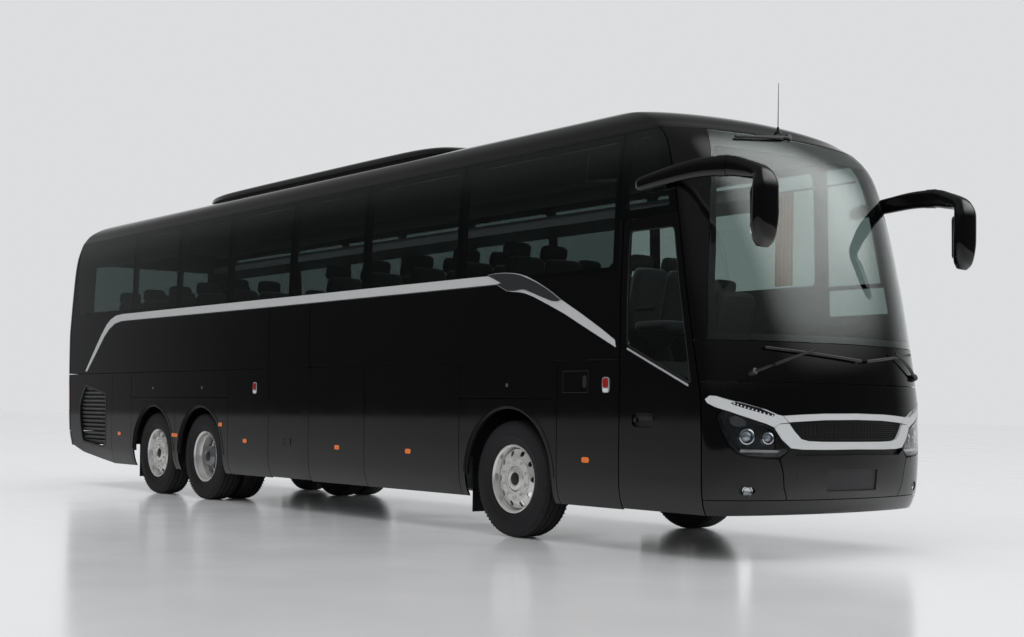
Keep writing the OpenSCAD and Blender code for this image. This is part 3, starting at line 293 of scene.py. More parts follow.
def skin_faces(first, count, turn):
    made = []
    for i in range(count - 1):
        for j in range(around):
            k = (j + 1) % around
            quad = [first + i * around + j, first + i * around + k, first + (i + 1) * around + k,
                first + (i + 1) * around + j]
            made.append(quad if turn else quad[::-1])
    last = [first + (count - 1) * around + j for j in range(around)]
    return made + [last if turn else last[::-1]]


under = len(rings) * around
roof_faces = skin_faces(0, len(rings), True) + [[j, under + j, under + (j + 1) % around,
    (j + 1) % around] for j in range(around)]
roof = piece("roof", [(np.concatenate(rings + ceiling_rings),
    roof_faces + skin_faces(under, len(rings), False))], coach_black, "body", "roof_panel")
# Felt: dull, with a 3 mm nap.
headliner = coating("felt_headliner", "#8b8a86", 0.9, 3, 0.4, 0.05, 0.05)
roof.data.materials.append(headliner)
roof.data.polygons.foreach_set("material_index",
    [0] * len(roof_faces) + [1] * (len(roof.data.polygons) - len(roof_faces)))


# Side walls: steel tube frame skinned with sheet aluminium in the same gloss black. Above the
# belt the skin steps in behind the glass and is cut for each window.
def enclosed(at, loops):
    odd = np.zeros(len(at), bool)
    for loop in loops:
        ends = np.roll(np.array(loop), -1, 0)
        for (x0, y0), (x1, y1) in zip(loop, ends):
            if y0 != y1:
                odd ^= ((y0 > at[:, 1]) != (y1 > at[:, 1])) & (at[:, 0] < (x1 - x0)
                    * (at[:, 1] - y0) / (y1 - y0) + x0)
    return odd


def trimmed(surface, loops, thick, lift=0.0, cell=(0.25, 0.07)):
    """A wall that follows a surface inside the first loop and outside the others."""
    border, ties = [], []
    for loop in loops:
        ring = []
        for (u0, v0), (u1, v1) in zip(loop, loop[1:] + loop[:1]):
            n = max(1, math.ceil(max(abs(u1 - u0) / cell[0], abs(v1 - v0) / cell[1])))
            ring += [(u0 + (u1 - u0) * k / n, v0 + (v1 - v0) * k / n) for k in range(n)]
        ties += [(len(border) + k, len(border) + (k + 1) % len(ring)) for k in range(len(ring))]
        border += ring
    scale = np.array(cell)
    edge = np.array(border) / scale
    low, high = edge.min(0), edge.max(0)
    grid = np.array([(u, v) for u in np.arange(low[0] + 0.5, high[0], 1.0)
        for v in np.arange(low[1] + 0.5, high[1], 1.0)]).reshape(-1, 2)
    if len(grid):
        clear = np.array([np.min(np.hypot(*(edge - g).T)) > 0.4 for g in grid])
        grid = grid[clear & enclosed(grid * scale, loops)]
    every = [Vector(p) for p in edge] + [Vector(p) for p in grid]
    flat, _, cells = delaunay_2d_cdt(every, ties, [], 0, 1e-7)[:3]
    flat = np.array([tuple(p) for p in flat]) * scale
    cells = np.array([c for c in cells if len(c) == 3])
    cells = cells[enclosed(flat[cells].mean(1), loops)]
    outer = surface(flat[:, 0], flat[:, 1], np.full(len(flat), -lift))
    inner = surface(flat[:, 0], flat[:, 1], np.full(len(flat), thick - lift))
    a, b, c = outer[cells[:, 0]], outer[cells[:, 1]], outer[cells[:, 2]]
    turned = np.einsum("ij,ij->i", np.cross(b - a, c - a),
        outer[cells[:, 0]] - inner[cells[:, 0]]) < 0
    cells[turned] = cells[turned][:, ::-1]
    n = len(flat)
    directed = {(int(f[i]), int(f[(i + 1) % 3])) for f in cells for i in range(3)}
    rim = [[q, p, p + n, q + n] for p, q in directed if (q, p) not in directed]
    faces = cells.tolist() + (cells[:, ::-1] + n).tolist() + sorted(rim)
    return np.concatenate([outer, inner]), faces


def rounded(loop, radius, steps=5):
    """A loop with its corners drawn round; radius is one number or one for each corner."""
    made = []
    radii = radius if isinstance(radius, (list, tuple)) else [radius] * len(loop)
    for i, r in enumerate(radii):
        p, before, after = (np.array(loop[k % len(loop)], float) for k in (i, i - 1, i + 1))
        a = p + (before - p) * min(r / max(np.hypot(*(before - p)), 1e-9), 0.49)
        b = p + (after - p) * min(r / max(np.hypot(*(after - p)), 1e-9), 0.49)
        made += [tuple(a * (1 - t) ** 2 + p * 2 * t * (1 - t) + b * t * t)
            for t in np.linspace(0, 1, steps)] if r else [tuple(p)]
    return made


def corner_line(low, high, gap, ahead=True, steps=14):
    """Points up the line where the side turns into the front, or into the rear."""
    return [((corner_x(z) - gap) if ahead else (tail_corner(z) + gap), z)
        for z in np.linspace(low, high, steps)]


belt, glass_top, rail, seam = 2.275, 3.400, 3.340, 1.560
door_rear, door_top, mid_aft, mid_fore, mid_top = 1.490, 2.680, -4.3692, -3.4794, 2.245
pane_ends = [1.430, -0.761, -2.4077, -3.9154, -5.396, -6.771, -8.110]
pane_tail = tail_x + 0.405
# Tempered glass with a grey-green tint: clear, with a sharp reflection.
tinted_glass = coating("tinted_safety_glass", "#7f8b89", 0.0, 400, 0.0, 0.0, 0.0,
    Transmission_Weight=1.0, IOR=1.5)
tail_pane = [(pane_ends[-1] - 0.003, belt), (pane_ends[-1] - 0.003, glass_top),
    (pane_tail, glass_top), (pane_tail, belt + 0.30), (pane_tail + 0.30, belt)]
for side, hand in ((-1, "right"), (1, "left")):
    skin = flank(side)
    tail_edge = corner_line(seam + 0.004, roof_seam, 0.008, ahead=False)
    sweep_in = rounded([(pane_tail + 0.30, belt), (pane_tail, belt + 0.30),
        (pane_tail, glass_top + 0.003)], [0.15, 0.3, 0.0], 8)
    if side < 0:
        below = [(mid_aft - 0.008, seam + 0.004), (mid_aft - 0.008, mid_top + 0.008),
            (mid_fore + 0.008, mid_top + 0.008), (mid_fore + 0.008, seam + 0.004),
            (door_rear - 0.008, seam + 0.004), (door_rear - 0.008, door_top + 0.006),
            (1.4305, door_top + 0.006), (1.4305, belt - 0.003)]
        nose_edge = [(corner_x(glass_top) - 0.008, glass_top + 0.003),
            (corner_x(roof_seam) - 0.008, roof_seam)]
        outer = [tail_edge[0], *below, *sweep_in, *nose_edge, *tail_edge[::-1][:-1]]
        windscreen_side = [*corner_line(door_top + 0.008, glass_top, 0.012), (1.433, glass_top),
            (1.433, door_top + 0.008)]
        quarter_hole = [*corner_line(door_top + 0.078, rail, 0.09), (door_rear + 0.02, rail),
            (door_rear + 0.02, door_top + 0.078)]
        frame_ends = [(tail_x + 0.35, belt - 0.02), (mid_aft - 0.008, belt - 0.02),
            (mid_fore + 0.008, belt - 0.02), (1.482, belt - 0.02), (1.482, door_top + 0.008),
            *corner_line(door_top + 0.008, roof_seam, 0.008), (tail_x + 0.52, roof_seam)]
        panes_front = [windscreen_side]
    else:
        nose_low = corner_line(seam + 0.004, roof_seam, 0.008)
        sill = belt - 0.25
        outer = [tail_edge[0], *nose_low[:1], *corner_line(seam + 0.004, belt - 0.003, 0.008)[1:],
            *sweep_in, (corner_x(glass_top) - 0.008, glass_top + 0.003),
            (corner_x(roof_seam) - 0.008, roof_seam), *tail_edge[::-1][:-1]]
        drop = [*corner_line(sill, belt - 0.003, 0.09, steps=6), (door_rear + 0.02, belt - 0.003),
            (door_rear + 0.02, sill)]
        windscreen_side = [*corner_line(belt, glass_top, 0.012), (1.433, glass_top), (1.433, belt)]
        quarter_hole = [*corner_line(sill, rail, 0.09), (door_rear + 0.02, rail),
            (door_rear + 0.02, sill)]
        frame_ends = [(tail_x + 0.35, belt - 0.02), *corner_line(belt - 0.02, roof_seam, 0.008),
            (tail_x + 0.52, roof_seam)]
        panes_front = [windscreen_side, drop]
    windows = [rounded([(b + 0.06, belt + 0.04), (a - 0.06, belt + 0.04), (a - 0.06, rail),
        (b + 0.06, rail)], 0.05) for a, b in zip(pane_ends, pane_ends[1:])]
    windows.append(rounded([(pane_ends[-1] - 0.06, belt + 0.04), (pane_ends[-1] - 0.06, rail),
        (pane_tail + 0.12, rail), (pane_tail + 0.12, belt + 0.34),
        (pane_tail + 0.40, belt + 0.04)], 0.08))
    wall_shapes = [trimmed(skin, [outer, *panes_front[1:]], 0.012)]
    if side < 0:
        windows.append(rounded(quarter_hole[:1] + quarter_hole[13:], 0.04))
    else:
        upper_hole = [p for p in quarter_hole if p[1] > belt]
        windows.append([(corner_x(belt + 0.02) - 0.09, belt + 0.02), *upper_hole,
            (door_rear + 0.02, belt + 0.02)])
    wall_shapes.append(trimmed(skin, [frame_ends, *windows], 0.031, -0.009))
    piece(hand + "_side_skin", wall_shapes, coach_black, "body", hand + "_side_wall")
    panes = [[(b + 0.003, belt), (a - 0.003, belt), (a - 0.003, glass_top), (b + 0.003, glass_top)]
        for a, b in zip(pane_ends, pane_ends[1:])]
    panes.append(rounded(tail_pane, [0, 0, 0.02, 0.3, 0.15], 8))
    piece(hand + "_side_glass", [trimmed(skin, [loop], 0.006) for loop in panes + panes_front],
        tinted_glass, "body", *(["side_glazing"] if side < 0 else []))


# Lower side: aluminium panels clipped to the frame, and top-hinged luggage flaps of the same
# sheet. Each has its own shut line; black lips line the wheel arches.
arch_z = 0.54  # the height of the wheel arches' centres


def box_loop(x0, x1, z0, z1):
    return [(x0, z0), (x1, z0), (x1, z1), (x0, z1)]


def arched(x0, x1, z0, z1, centre, radius):
    """A panel's outline with a wheel arch cut out of its lower edge."""
    arc = [(centre + radius * math.cos(math.radians(t)),
        arch_z + radius * math.sin(math.radians(t))) for t in np.linspace(180, 0, 49)]
    return [(x0, z0), (centre - radius, z0), *arc, (centre + radius, z0), (x1, z0), (x1, z1),
        (x0, z1)]


def arch_edge(skin, centre, radius):
    """A chart round a wheel arch: an angle about its centre, and a distance out from its edge."""
    def edge(angle, out, inset):
        turn = np.radians(angle)
        return skin(centre + (radius + out) * np.cos(turn), arch_z + (radius + out) * np.sin(turn),
            inset)
    return edge


skirt, crease, gap = 0.340, 1.235, 0.004
flap_ends = [-0.721, -2.3607, -3.4794, -4.3692]
arches = [(0.0, 0.630, -0.721, 0.696), (-6.090, 0.600, -6.772, -5.353),
    (-7.440, 0.600, -8.104, -6.772)]
grille_loop = rounded([(-9.674, 1.415), (-8.938, 1.298), (-8.924, 0.595), (-9.050, 0.540),
    (-9.753, 0.600), (-9.849, 0.854), (-9.905, 1.130)], [0.05, 0.06, 0.05, 0.05, 0.06, 0.1, 0.15])
tail_panel = [(-8.737, skirt), (-8.737, seam - gap),
    *corner_line(0.56, seam - gap, 0.008, ahead=False)[::-1], (-9.75, 0.470)]
# Unpainted moulding: a broad soft sheen. Its pebble is drawn at 4 mm so that it shows.
black_plastic = coating("black_moulded_plastic", "#141415", 0.45, 4, 0.25, 0.08, 0.08)
for side, hand in ((-1, "right"), (1, "left")):
    skin = flank(side)
    fixed = [trimmed(skin, [box_loop(-5.353 + gap, -4.3692 - gap, skirt, seam - gap)], 0.02),
             trimmed(skin, [box_loop(-8.733 + gap, -8.104 - gap, skirt, seam - gap)], 0.02),
             trimmed(skin, [tail_panel, grille_loop], 0.02)]
    for centre, radius, x0, x1 in arches:
        fixed.append(trimmed(skin, [box_loop(x0 + gap, x1 - gap, crease + 0.003, seam - gap)],
            0.02))
        fixed.append(trimmed(skin, [arched(x0 + gap, x1 - gap, skirt, crease - 0.003, centre,
            radius)], 0.02, cell=(0.12, 0.06)))
    if side < 0:
        fixed.append(trimmed(skin, [box_loop(0.696 + gap, door_rear - 0.004 - gap, skirt,
            seam - gap)], 0.02))
    else:
        fixed.append(trimmed(skin, [[(0.696 + gap, skirt), *corner_line(skirt, seam - gap, 0.008),
            (0.696 + gap, seam - gap)]], 0.02))
    piece(hand + "_lower_side", fixed, coach_black, "body", hand + "_lower_panels")
    for i in range(2 if side < 0 else 3):
        piece(f"{hand}_flap_{i + 1}_skin", [trimmed(skin,
            [box_loop(flap_ends[i + 1] + gap, flap_ends[i] - gap, skirt, seam - gap)], 0.03)],
            coach_black, f"{hand}_luggage_flap_{i + 1}", f"{hand}_luggage_flap_{i + 1}")
    edges = [arch_edge(skin, centre, radius) for centre, radius, _, _ in arches]
    lip = [(2, 0.012), (178, 0.012), (178, 0.034), (2, 0.034)]
    seal = [(0, -0.022), (180, -0.022), (180, 0.0), (0, 0.0)]
    piece(hand + "_arch_lips", [trimmed(edge, [lip], 0.012, 0.004, (4, 0.02)) for edge in edges],
        coach_black, "body")
    piece(hand + "_arch_seals", [trimmed(edge, [seal], 0.03, -0.010, (4, 0.02)) for edge in edges],
        black_plastic, "body")


# Middle door: a flush plug door of sheet aluminium in gloss black, hung on its arm.
piece("middle_door_skin", [trimmed(right_skin,
    [box_loop(mid_aft + gap, mid_fore - gap, 0.350, mid_top)], 0.03)], coach_black, "mid_door",
    "mid_door")


# Side grilles: a moulded frame round slanted plastic louvres that feed the engine's radiators.
def bars(name, given, lay, finish):
    """Bars set on points by Geometry Nodes, as a plain mesh's points and faces.

    given holds each group input's socket type and value, and Size is one of them; lay makes the
    points and gives the turn of each bar.
    """
    tree = bpy.data.node_groups.new(name, "GeometryNodeTree")
    for label, (kind, _) in given.items():
        tree.interface.new_socket(label, in_out="INPUT", socket_type="NodeSocket" + kind)
    tree.interface.new_socket("Mesh", in_out="OUTPUT", socket_type="NodeSocketGeometry")
    inputs = node(tree, "NodeGroupInput").outputs
    where, turn = lay(tree, inputs)
    bar = node(tree, "GeometryNodeMeshCube", links={"Size": inputs["Size"]})
    copies = node(tree, "GeometryNodeInstanceOnPoints",
        links={"Points": where, "Instance": bar.outputs["Mesh"], "Rotation": turn})
    real = node(tree, "GeometryNodeRealizeInstances",
        links={"Geometry": copies.outputs["Instances"]})
    coat = node(tree, "GeometryNodeSetMaterial", {"Material": finish},
        {"Geometry": real.outputs["Geometry"]})
    node(tree, "NodeGroupOutput", links={"Mesh": coat.outputs["Geometry"]})
    holder = bpy.data.objects.new(name, bpy.data.meshes.new(name))
    scene.collection.objects.link(holder)
    grower = holder.modifiers.new("grow", "NODES")
    grower.node_group = tree
    for item in tree.interface.items_tree:
        if item.in_out == "INPUT":
            grower[item.identifier] = given[item.name][1]
    grown = holder.evaluated_get(bpy.context.evaluated_depsgraph_get())
    mesh = bpy.data.meshes.new_from_object(grown)
    points, faces = np.array([tuple(v.co) for v in mesh.vertices]), [list(p.vertices)
        for p in mesh.polygons]
    bpy.data.objects.remove(holder)
    return points, faces


def in_a_line(tree, inputs):
    line = node(tree, "GeometryNodeMeshLine", {"mode": "END_POINTS"},
        {"Count": inputs["Count"], "Start Location": inputs["First"], "Offset": inputs["Last"]})
    return line.outputs["Mesh"], inputs["Turn"]


inner_grille = rounded([(-9.655, 1.385), (-8.965, 1.272), (-8.952, 0.615), (-9.060, 0.568),
    (-9.735, 0.625), (-9.823, 0.860), (-9.875, 1.125)], [0.05, 0.06, 0.05, 0.05, 0.06, 0.1, 0.15])
for side, hand in ((-1, "right"), (1, "left")):
    skin = flank(side)
    shapes = [trimmed(skin, [grille_loop, inner_grille], 0.03, 0.003, cell=(0.1, 0.06))]
    ends = [(-9.40 + front_axle, side * 1.245, z) for z in (0.625, 1.345)]
    given = {"Count": ("Int", 14), "First": ("Vector", ends[0]), "Last": ("Vector", ends[1]),
        "Size": ("Vector", (0.86, 0.007, 0.052)),
        "Turn": ("Vector", (math.radians(-side * 32), 0, 0))}
    slats, slat_faces = bars(hand + "_louvres", given, in_a_line, black_plastic)
    # Each louvre ends at the frame, whose sides slope.
    aft = np.interp(slats[:, 2], [0.57, 0.62, 0.86, 1.125, 1.385],
        [-9.74, -9.74, -9.825, -9.875, -9.66])
    fore = np.interp(slats[:, 2], [0.57, 0.62, 1.27, 1.28, 1.385],
        [-9.06, -8.96, -8.97, -9.00, -9.62])
    slats[:, 0] = np.minimum(np.maximum(slats[:, 0] - front_axle, aft), fore) + front_axle
    piece(hand + "_side_grille", shapes + [(slats, slat_faces)], black_plastic, "body",
        *(["side_grilles"] if side < 0 else []))


# Stripe: cast vinyl film in metallic silver with a darker edge, laid over glass and panels, and
# a moulded wing ahead of it in dark plastic with a bright rim, left blank.
# Cast film: a soft silver sheen under clear. Its flake is drawn at 1.5 mm so that it shows.
silver_film = coating("metallic_silver_film", "#c6c8c8", 0.34, 1.5, 0.0, 0.04, 0.03, Metallic=0.2,
    Coat_Weight=0.4, Coat_Roughness=0.1)
# Cast film: flat dark grey with a dull sheen.
dark_film = coating("dark_grey_film", "#2b2c2e", 0.4, 2, 0.02, 0.05, 0.05, Metallic=0.2)
# Plated plastic: bright, with sharp edges of light.
chrome_trim = coating("chromed_plastic", "#e2e3e5", 0.12, 60, 0.0, 0.03, 0.0, Metallic=0.6)
wing = [(-0.315, 2.353), (-0.197, 2.361), (-0.057, 2.358), (0.065, 2.347), (0.172, 2.330),
    (0.262, 2.305), (0.353, 2.270), (0.443, 2.232), (0.561, 2.177), (0.649, 2.130), (0.748, 2.073),
    (0.695, 2.062), (0.624, 2.070), (0.479, 2.113), (0.36, 2.152), (0.255, 2.180), (0.18, 2.188),
    (0.075, 2.185), (-0.016, 2.191), (-0.087, 2.221), (-0.183, 2.262), (-0.114, 2.269)]
wing_middle = np.mean(wing, 0)
wing_face = [tuple(np.array(p) + (wing_middle - p) * (0.012 / np.hypot(*(wing_middle - p))))
    for p in wing]
rear_run = [(-9.680, 1.600), (-9.447, 1.811), (-9.173, 2.054), (-8.961, 2.222), (-8.832, 2.290),
    (-8.657, 2.336), (-8.436, 2.348)]
rear_under = [(-8.208, 2.257), (-8.470, 2.256), (-8.690, 2.228), (-8.863, 2.164), (-9.034, 2.059),
    (-9.169, 1.950), (-9.398, 1.768), (-9.620, 1.595)]
for side, hand in ((-1, "right"), (1, "left")):
    skin = flank(side)
    runs = [[*rear_run, (-4.37, 2.345), (-0.515, 2.344), (-0.310, 2.342), (-0.114, 2.269),
        (-0.183, 2.262), (-0.509, 2.260), (-4.6, 2.254), *rear_under],
        [(0.748, 2.073), (0.987, 1.955), (1.256, 1.814), (1.426, 1.716), (1.438, 1.656),
        (1.258, 1.738), (0.989, 1.861), (0.782, 1.957), (0.569, 2.043), (0.362, 2.122),
        (0.242, 2.158), (0.152, 2.174), (0.0, 2.186), (0.075, 2.186), (0.18, 2.189),
        (0.255, 2.181), (0.36, 2.153), (0.479, 2.114), (0.624, 2.071), (0.695, 2.063)]]
    piece(hand + "_stripe", [trimmed(skin, [loop], 0.0012, 0.0015) for loop in runs], silver_film,
        "body")
    under_line = [(-9.60, 1.585), (-9.38, 1.757), (-9.150, 1.940), (-9.02, 2.047), (-8.85, 2.152),
        (-8.68, 2.217), (-8.47, 2.246), (-8.208, 2.247), (-4.6, 2.244), (-0.509, 2.250),
        (-0.175, 2.253)]
    piece(hand + "_stripe_edge", [trimmed(skin,
        [under_line + [(x, z + 0.008) for x, z in under_line[::-1]]], 0.001, 0.0012)], dark_film,
        "body")
    piece(hand + "_wing_rim", [trimmed(skin, [wing], 0.010, 0.009, cell=(0.06, 0.03))],
        chrome_trim, "body")
    piece(hand + "_wing_face", [trimmed(skin, [wing_face], 0.004, 0.0105, cell=(0.06, 0.03))],
        dark_film, "body")


# Side fittings: amber marker lamps and reflectors, flush locks, one oval repeater lamp beside each
# door, the fuel flap and pull handles, all pressed into holes in the panels.
def spot(x, z, wide, high, sides=20):
    return [(x + wide / 2 * math.copysign(abs(math.cos(t)) ** 0.5, math.cos(t)),
        z + high / 2 * math.copysign(abs(math.sin(t)) ** 0.5, math.sin(t)))
        for t in np.linspace(0, 2 * math.pi, sides, endpoint=False)]


# Moulded acrylic: orange with a wet shine over a 2 mm ripple.
amber_lens = coating("amber_lamp_lens", "#e8720c", 0.22, 2, 0.1, 0.05, 0.06, Coat_Weight=0.6)
# Moulded acrylic: deep red with a wet shine over a 3 mm ripple.
red_lens = coating("red_lamp_lens", "#8e1512", 0.16, 3, 0.1, 0.05, 0.06, Coat_Weight=0.8)
# Moulded acrylic over a reflector: pale with a wet shine over a 3 mm ripple.
white_lens = coating("clear_ribbed_lens", "#d6dade", 0.16, 3, 0.3, 0.05, 0.05, Coat_Weight=0.8)
# Brushed steel: a grey metal sheen. Its marks are drawn at 0.8 mm so that they show.
lock_steel = coating("brushed_stainless_lock", "#9a9c9e", 0.34, 0.8, 0.02, 0.08, 0.05,
    Metallic=1.0)
for side, hand in ((-1, "right"), (1, "left")):
    skin = flank(side)
    markers = [(-4.912, 0.738), (-6.735, 0.766), (-6.805, 0.766), (-5.531, 0.917), (-8.472, 0.750),
        (1.081, 0.729)]
    piece(hand + "_marker_lenses", [trimmed(skin, [spot(x, z, 0.095, 0.046)], 0.008, 0.005)
        for x, z in markers], amber_lens, "body")
    piece(hand + "_marker_bases", [trimmed(skin, [spot(x, z, 0.107, 0.058)], 0.006, 0.002)
        for x, z in markers], black_plastic, "body")
    for i, x in ((1, -1.558), (2, -2.882)):
        piece(f"{hand}_flap_{i}_marker", [trimmed(skin, [spot(x, 0.722, 0.095, 0.046)], 0.008,
            0.005)], amber_lens, f"{hand}_luggage_flap_{i}")
    piece(hand + "_locks", [trimmed(skin, [spot(x, 1.355, 0.030, 0.030, 14)], 0.006, 0.003)
        for x in (-7.432, -6.031, 0.0)], lock_steel, "body")
    ovals = [(1.324, 1.351), (-4.689, 1.346)]
    piece(hand + "_repeater_bezels", [trimmed(skin, [spot(x, z, 0.088, 0.130)], 0.010, 0.005)
        for x, z in ovals], chrome_trim, "body")
    piece(hand + "_repeater_lenses", [trimmed(skin, [spot(x, z + 0.017, 0.068, 0.080)], 0.010,
        0.009) for x, z in ovals], red_lens, "body")
    piece(hand + "_repeater_feet", [trimmed(skin, [spot(x, z - 0.042, 0.056, 0.030)], 0.010, 0.009)
        for x, z in ovals], white_lens, "body")
    fuel = [(0.773, 1.286), (1.101, 1.286), (1.101, 1.472), (0.773, 1.472)]
    piece(hand + "_fuel_flap", [trimmed(skin, [fuel,
        [(0.778, 1.291), (1.096, 1.291), (1.096, 1.467), (0.778, 1.467)]], 0.004, 0.0012),
        trimmed(skin, [spot(1.055, 1.380, 0.05, 0.10)], 0.004, 0.002)], black_plastic, "body")
piece("middle_door_handle", [trimmed(right_skin,
    [spot(-3.936, 0.751, 0.17, 0.10), spot(-3.936, 0.751, 0.15, 0.08)], 0.012, 0.004),
    trimmed(right_skin, [spot(-3.936, 0.760, 0.15, 0.035)], 0.010, 0.006)], black_plastic,
    "mid_door")


# Front: bonded laminated windscreen over a one-piece service panel, then lamps, a moulded grille
# in a satin silver surround and a three-part bumper, all in glass-fibre on brackets.
def front_angle(y, z):
    return math.copysign(math.degrees(math.asin(min(1, (abs(y) / half(z)) ** 0.9))), y)


def screen_edge(z, out=0.0):
    return half(z) - float(np.interp(z, [1.690, 2.200, 2.700, 3.100, 3.406],
        [0.045, 0.095, 0.160, 0.240, 0.330])) + out


def mirrored(loop):
    return [(-a, z) for a, z in loop]


def shrunk(loop, by, wide=20.0):
    """A chart loop drawn in by a distance; wide is how many degrees make one metre."""
    scale = np.array([wide, 1.0])
    p = np.array(loop) / scale
    before, after = np.roll(p, 1, 0), np.roll(p, -1, 0)
    along = after - before
    normal = np.stack([-along[:, 1], along[:, 0]], 1) / np.maximum(np.hypot(*along.T), 1e-9)[:,
        None]
    area = 0.5 * np.sum(p[:, 0] * after[:, 1] - after[:, 0] * p[:, 1])
    return [tuple(q) for q in (p + normal * by * (1 if area > 0 else -1)) * scale]


front_cell = (4, 0.07)  # degrees and metres
panel_depth = 0.03  # of a moulded panel with its folded edge


def front_cut(loops, thick=panel_depth, lift=0.0, cell=front_cell):
    return trimmed(front_skin, loops, thick, lift, cell)


def rear_cut(loops, thick=panel_depth, lift=0.0, cell=front_cell):
    return trimmed(rear_skin, loops, thick, lift, cell)


rise = np.linspace(1.693, 3.396, 24)
screen_loop = [(front_angle(-screen_edge(z), z), z)
    for z in rise[::-1]] + [(front_angle(screen_edge(z), z), z) for z in rise]
# Laminated glass: clear with a green cast and a sharp reflection.
clear_glass = coating("green_laminated_glass", "#e2efe9", 0.0, 400, 0.0, 0.0, 0.0,
    Transmission_Weight=1.0, IOR=1.5)
piece("windscreen_glass", [front_cut([screen_loop], 0.006)], clear_glass, "body", "windscreen")
# Enamel fired on the inside of the glass: flat and dark.
ceramic_black = coating("black_ceramic_border", "#0b0b0c", 0.35, 3, 0.02, 0.06, 0.05)
inner_rise = np.linspace(1.745, 3.235, 24)
screen_inner = [(front_angle(-screen_edge(z) + 0.04, z), z)
    for z in inner_rise[::-1]] + [(front_angle(screen_edge(z) - 0.04, z), z) for z in inner_rise]
piece("windscreen_border", [front_cut([screen_loop, screen_inner], 0.002, -0.0075)], ceramic_black,
    "body")
pillar = [(-89.5, z) for z in np.linspace(1.693, 3.403,
    24)] + [(front_angle(-screen_edge(z, 0.003), z), z) for z in np.linspace(3.403, 1.693, 24)]
piece("windscreen_pillar_skins", [front_cut([pillar]), front_cut([mirrored(pillar)])],
      coach_black, "body", "windscreen_pillars")
brow = [(-89.5, 1.262), (-84.1, 1.243), (-79.2, 1.271), (-73.8, 1.268), (-56.8, 1.213),
    (-45.8, 1.171), (-40.3, 1.133), (-37.7, 1.124), (-28.7, 1.135), (-18.2, 1.144), (0, 1.149)]
brow += [(-a, z) for a, z in brow[-2::-1]]
piece("front_service_panel", [front_cut([[*brow, (89.5, 1.372), (-89.5, 1.372)]]),
    front_cut([[(-89.5, 1.378), (89.5, 1.378), (89.5, 1.687), (-89.5, 1.687)]])], coach_black,
    "body", "front_panel")
cheek = [(-89.5, 0.474), (-34.9, 0.474), (-36.9, 0.564), (-38.0, 0.699), (-39.9, 0.784),
    (-46.7, 0.792), (-54.8, 0.799), (-60.8, 0.821), (-66.2, 0.888), (-71.0, 0.993), (-74.4, 1.090),
    (-73.4, 1.128), (-70.2, 1.163), (-74.2, 1.174), (-81.8, 1.206), (-84.8, 1.238), (-89.5, 1.256)]
fog = [(-54.9 + 4.6 * math.cos(t), 0.543 + 0.043 * math.sin(t))
    for t in np.linspace(0, 2 * math.pi, 24, endpoint=False)]
chin = [(-34.4, 0.474), (-36.4, 0.564), (-37.5, 0.699), (-39.2, 0.787), (-34.9, 0.849),
    (-31.5, 0.812), (0, 0.818), (31.5, 0.812), (34.9, 0.849), (39.2, 0.787), (37.5, 0.699),
    (36.4, 0.564), (34.4, 0.474)]
plate = [(-16.0, 0.530), (15.6, 0.530), (15.2, 0.708), (-16.0, 0.708)]
lip_low = [(-89.5, 0.350), (89.5, 0.350), (89.5, 0.467), (-89.5, 0.467)]
piece("front_bumper_skins", [front_cut([cheek, fog]), front_cut([mirrored(cheek), mirrored(fog)]),
                             front_cut([chin, plate]), front_cut([lip_low])],
      coach_black, "body", "front_bumper")
piece("front_bumper_backing", [front_cut([[(-89, 0.356), (89, 0.356), (89, 0.785), (-89, 0.785)]],
    0.008, -0.034)], black_plastic, "body")
# Moulded carrier: dark with a soft sheen.
plate_back = coating("satin_black_plate_carrier", "#1d1d1f", 0.5, 5, 0.1, 0.08, 0.06)
piece("number_plate_blank", [front_cut([plate], 0.01, -0.012),
                             front_cut([plate, shrunk(plate, 0.006)], 0.012)], plate_back, "body")
piece("tow_eye_cap", [front_cut([[(-30.8, 0.617), (-27.3, 0.617), (-27.3, 0.69), (-30.8, 0.69)]],
    0.003, 0.0015)], coach_black, "body")
# Silver paint on a moulding: pale and evenly soft, with little of metal's look.
satin_silver = coating("satin_silver_moulding", "#c9cbcc", 0.42, 60, 0.0, 0.03, 0.0, Metallic=0.1)
bow = [(-41.9, 1.025), (-39.7, 1.054), (-35.0, 1.060), (-32.9, 1.006), (-29.5, 0.942),
    (-26.1, 0.926), (-18.3, 0.921), (0, 0.921)]
under_bow = [(-38.6, 0.940), (-34.2, 0.872), (-28.8, 0.862), (-18.3, 0.860), (0, 0.863)]
surround = bow + mirrored(bow[:-1])[::-1] + mirrored(under_bow[:-1]) + under_bow[::-1]
bar = [(-37.7, 1.119), (-28.7, 1.130), (-18.2, 1.139), (0, 1.144), (18.2, 1.139), (28.7, 1.130),
    (37.7, 1.119), (35.2, 1.070), (28.8, 1.078), (18.3, 1.090), (0, 1.095), (-18.3, 1.090),
    (-28.8, 1.078), (-35.2, 1.070)]
piece("grille_surround", [front_cut([surround], 0.02, 0.004, (1.6, 0.03)),
    front_cut([bar], 0.02, 0.004, (1.6, 0.03))], satin_silver, "body")
mesh_shapes = [front_cut([[(-41, 0.800), (41, 0.800), (41, 1.150), (-41, 1.150)]], 0.01, -0.045)]
for z in np.arange(0.940, 1.08, 0.017):
    wide = float(np.interp(z, [0.93, 0.946, 1.010, 1.058, 1.075, 1.089],
        [26.0, 29.3, 32.7, 34.6, 26.0, 6.0]))
    mesh_shapes.append(front_cut([[(-wide, z), (wide, z), (wide, z + 0.006), (-wide, z + 0.006)]],
        0.02, -0.012))
for a in np.arange(-30, 31, 2.0):
    mesh_shapes.append(front_cut([[(a - 0.12, 0.95), (a + 0.12, 0.95), (a + 0.12, 1.065),
        (a - 0.12, 1.065)]], 0.01, -0.022))
piece("front_grille_mesh", mesh_shapes, black_plastic, "body", "front_grille")


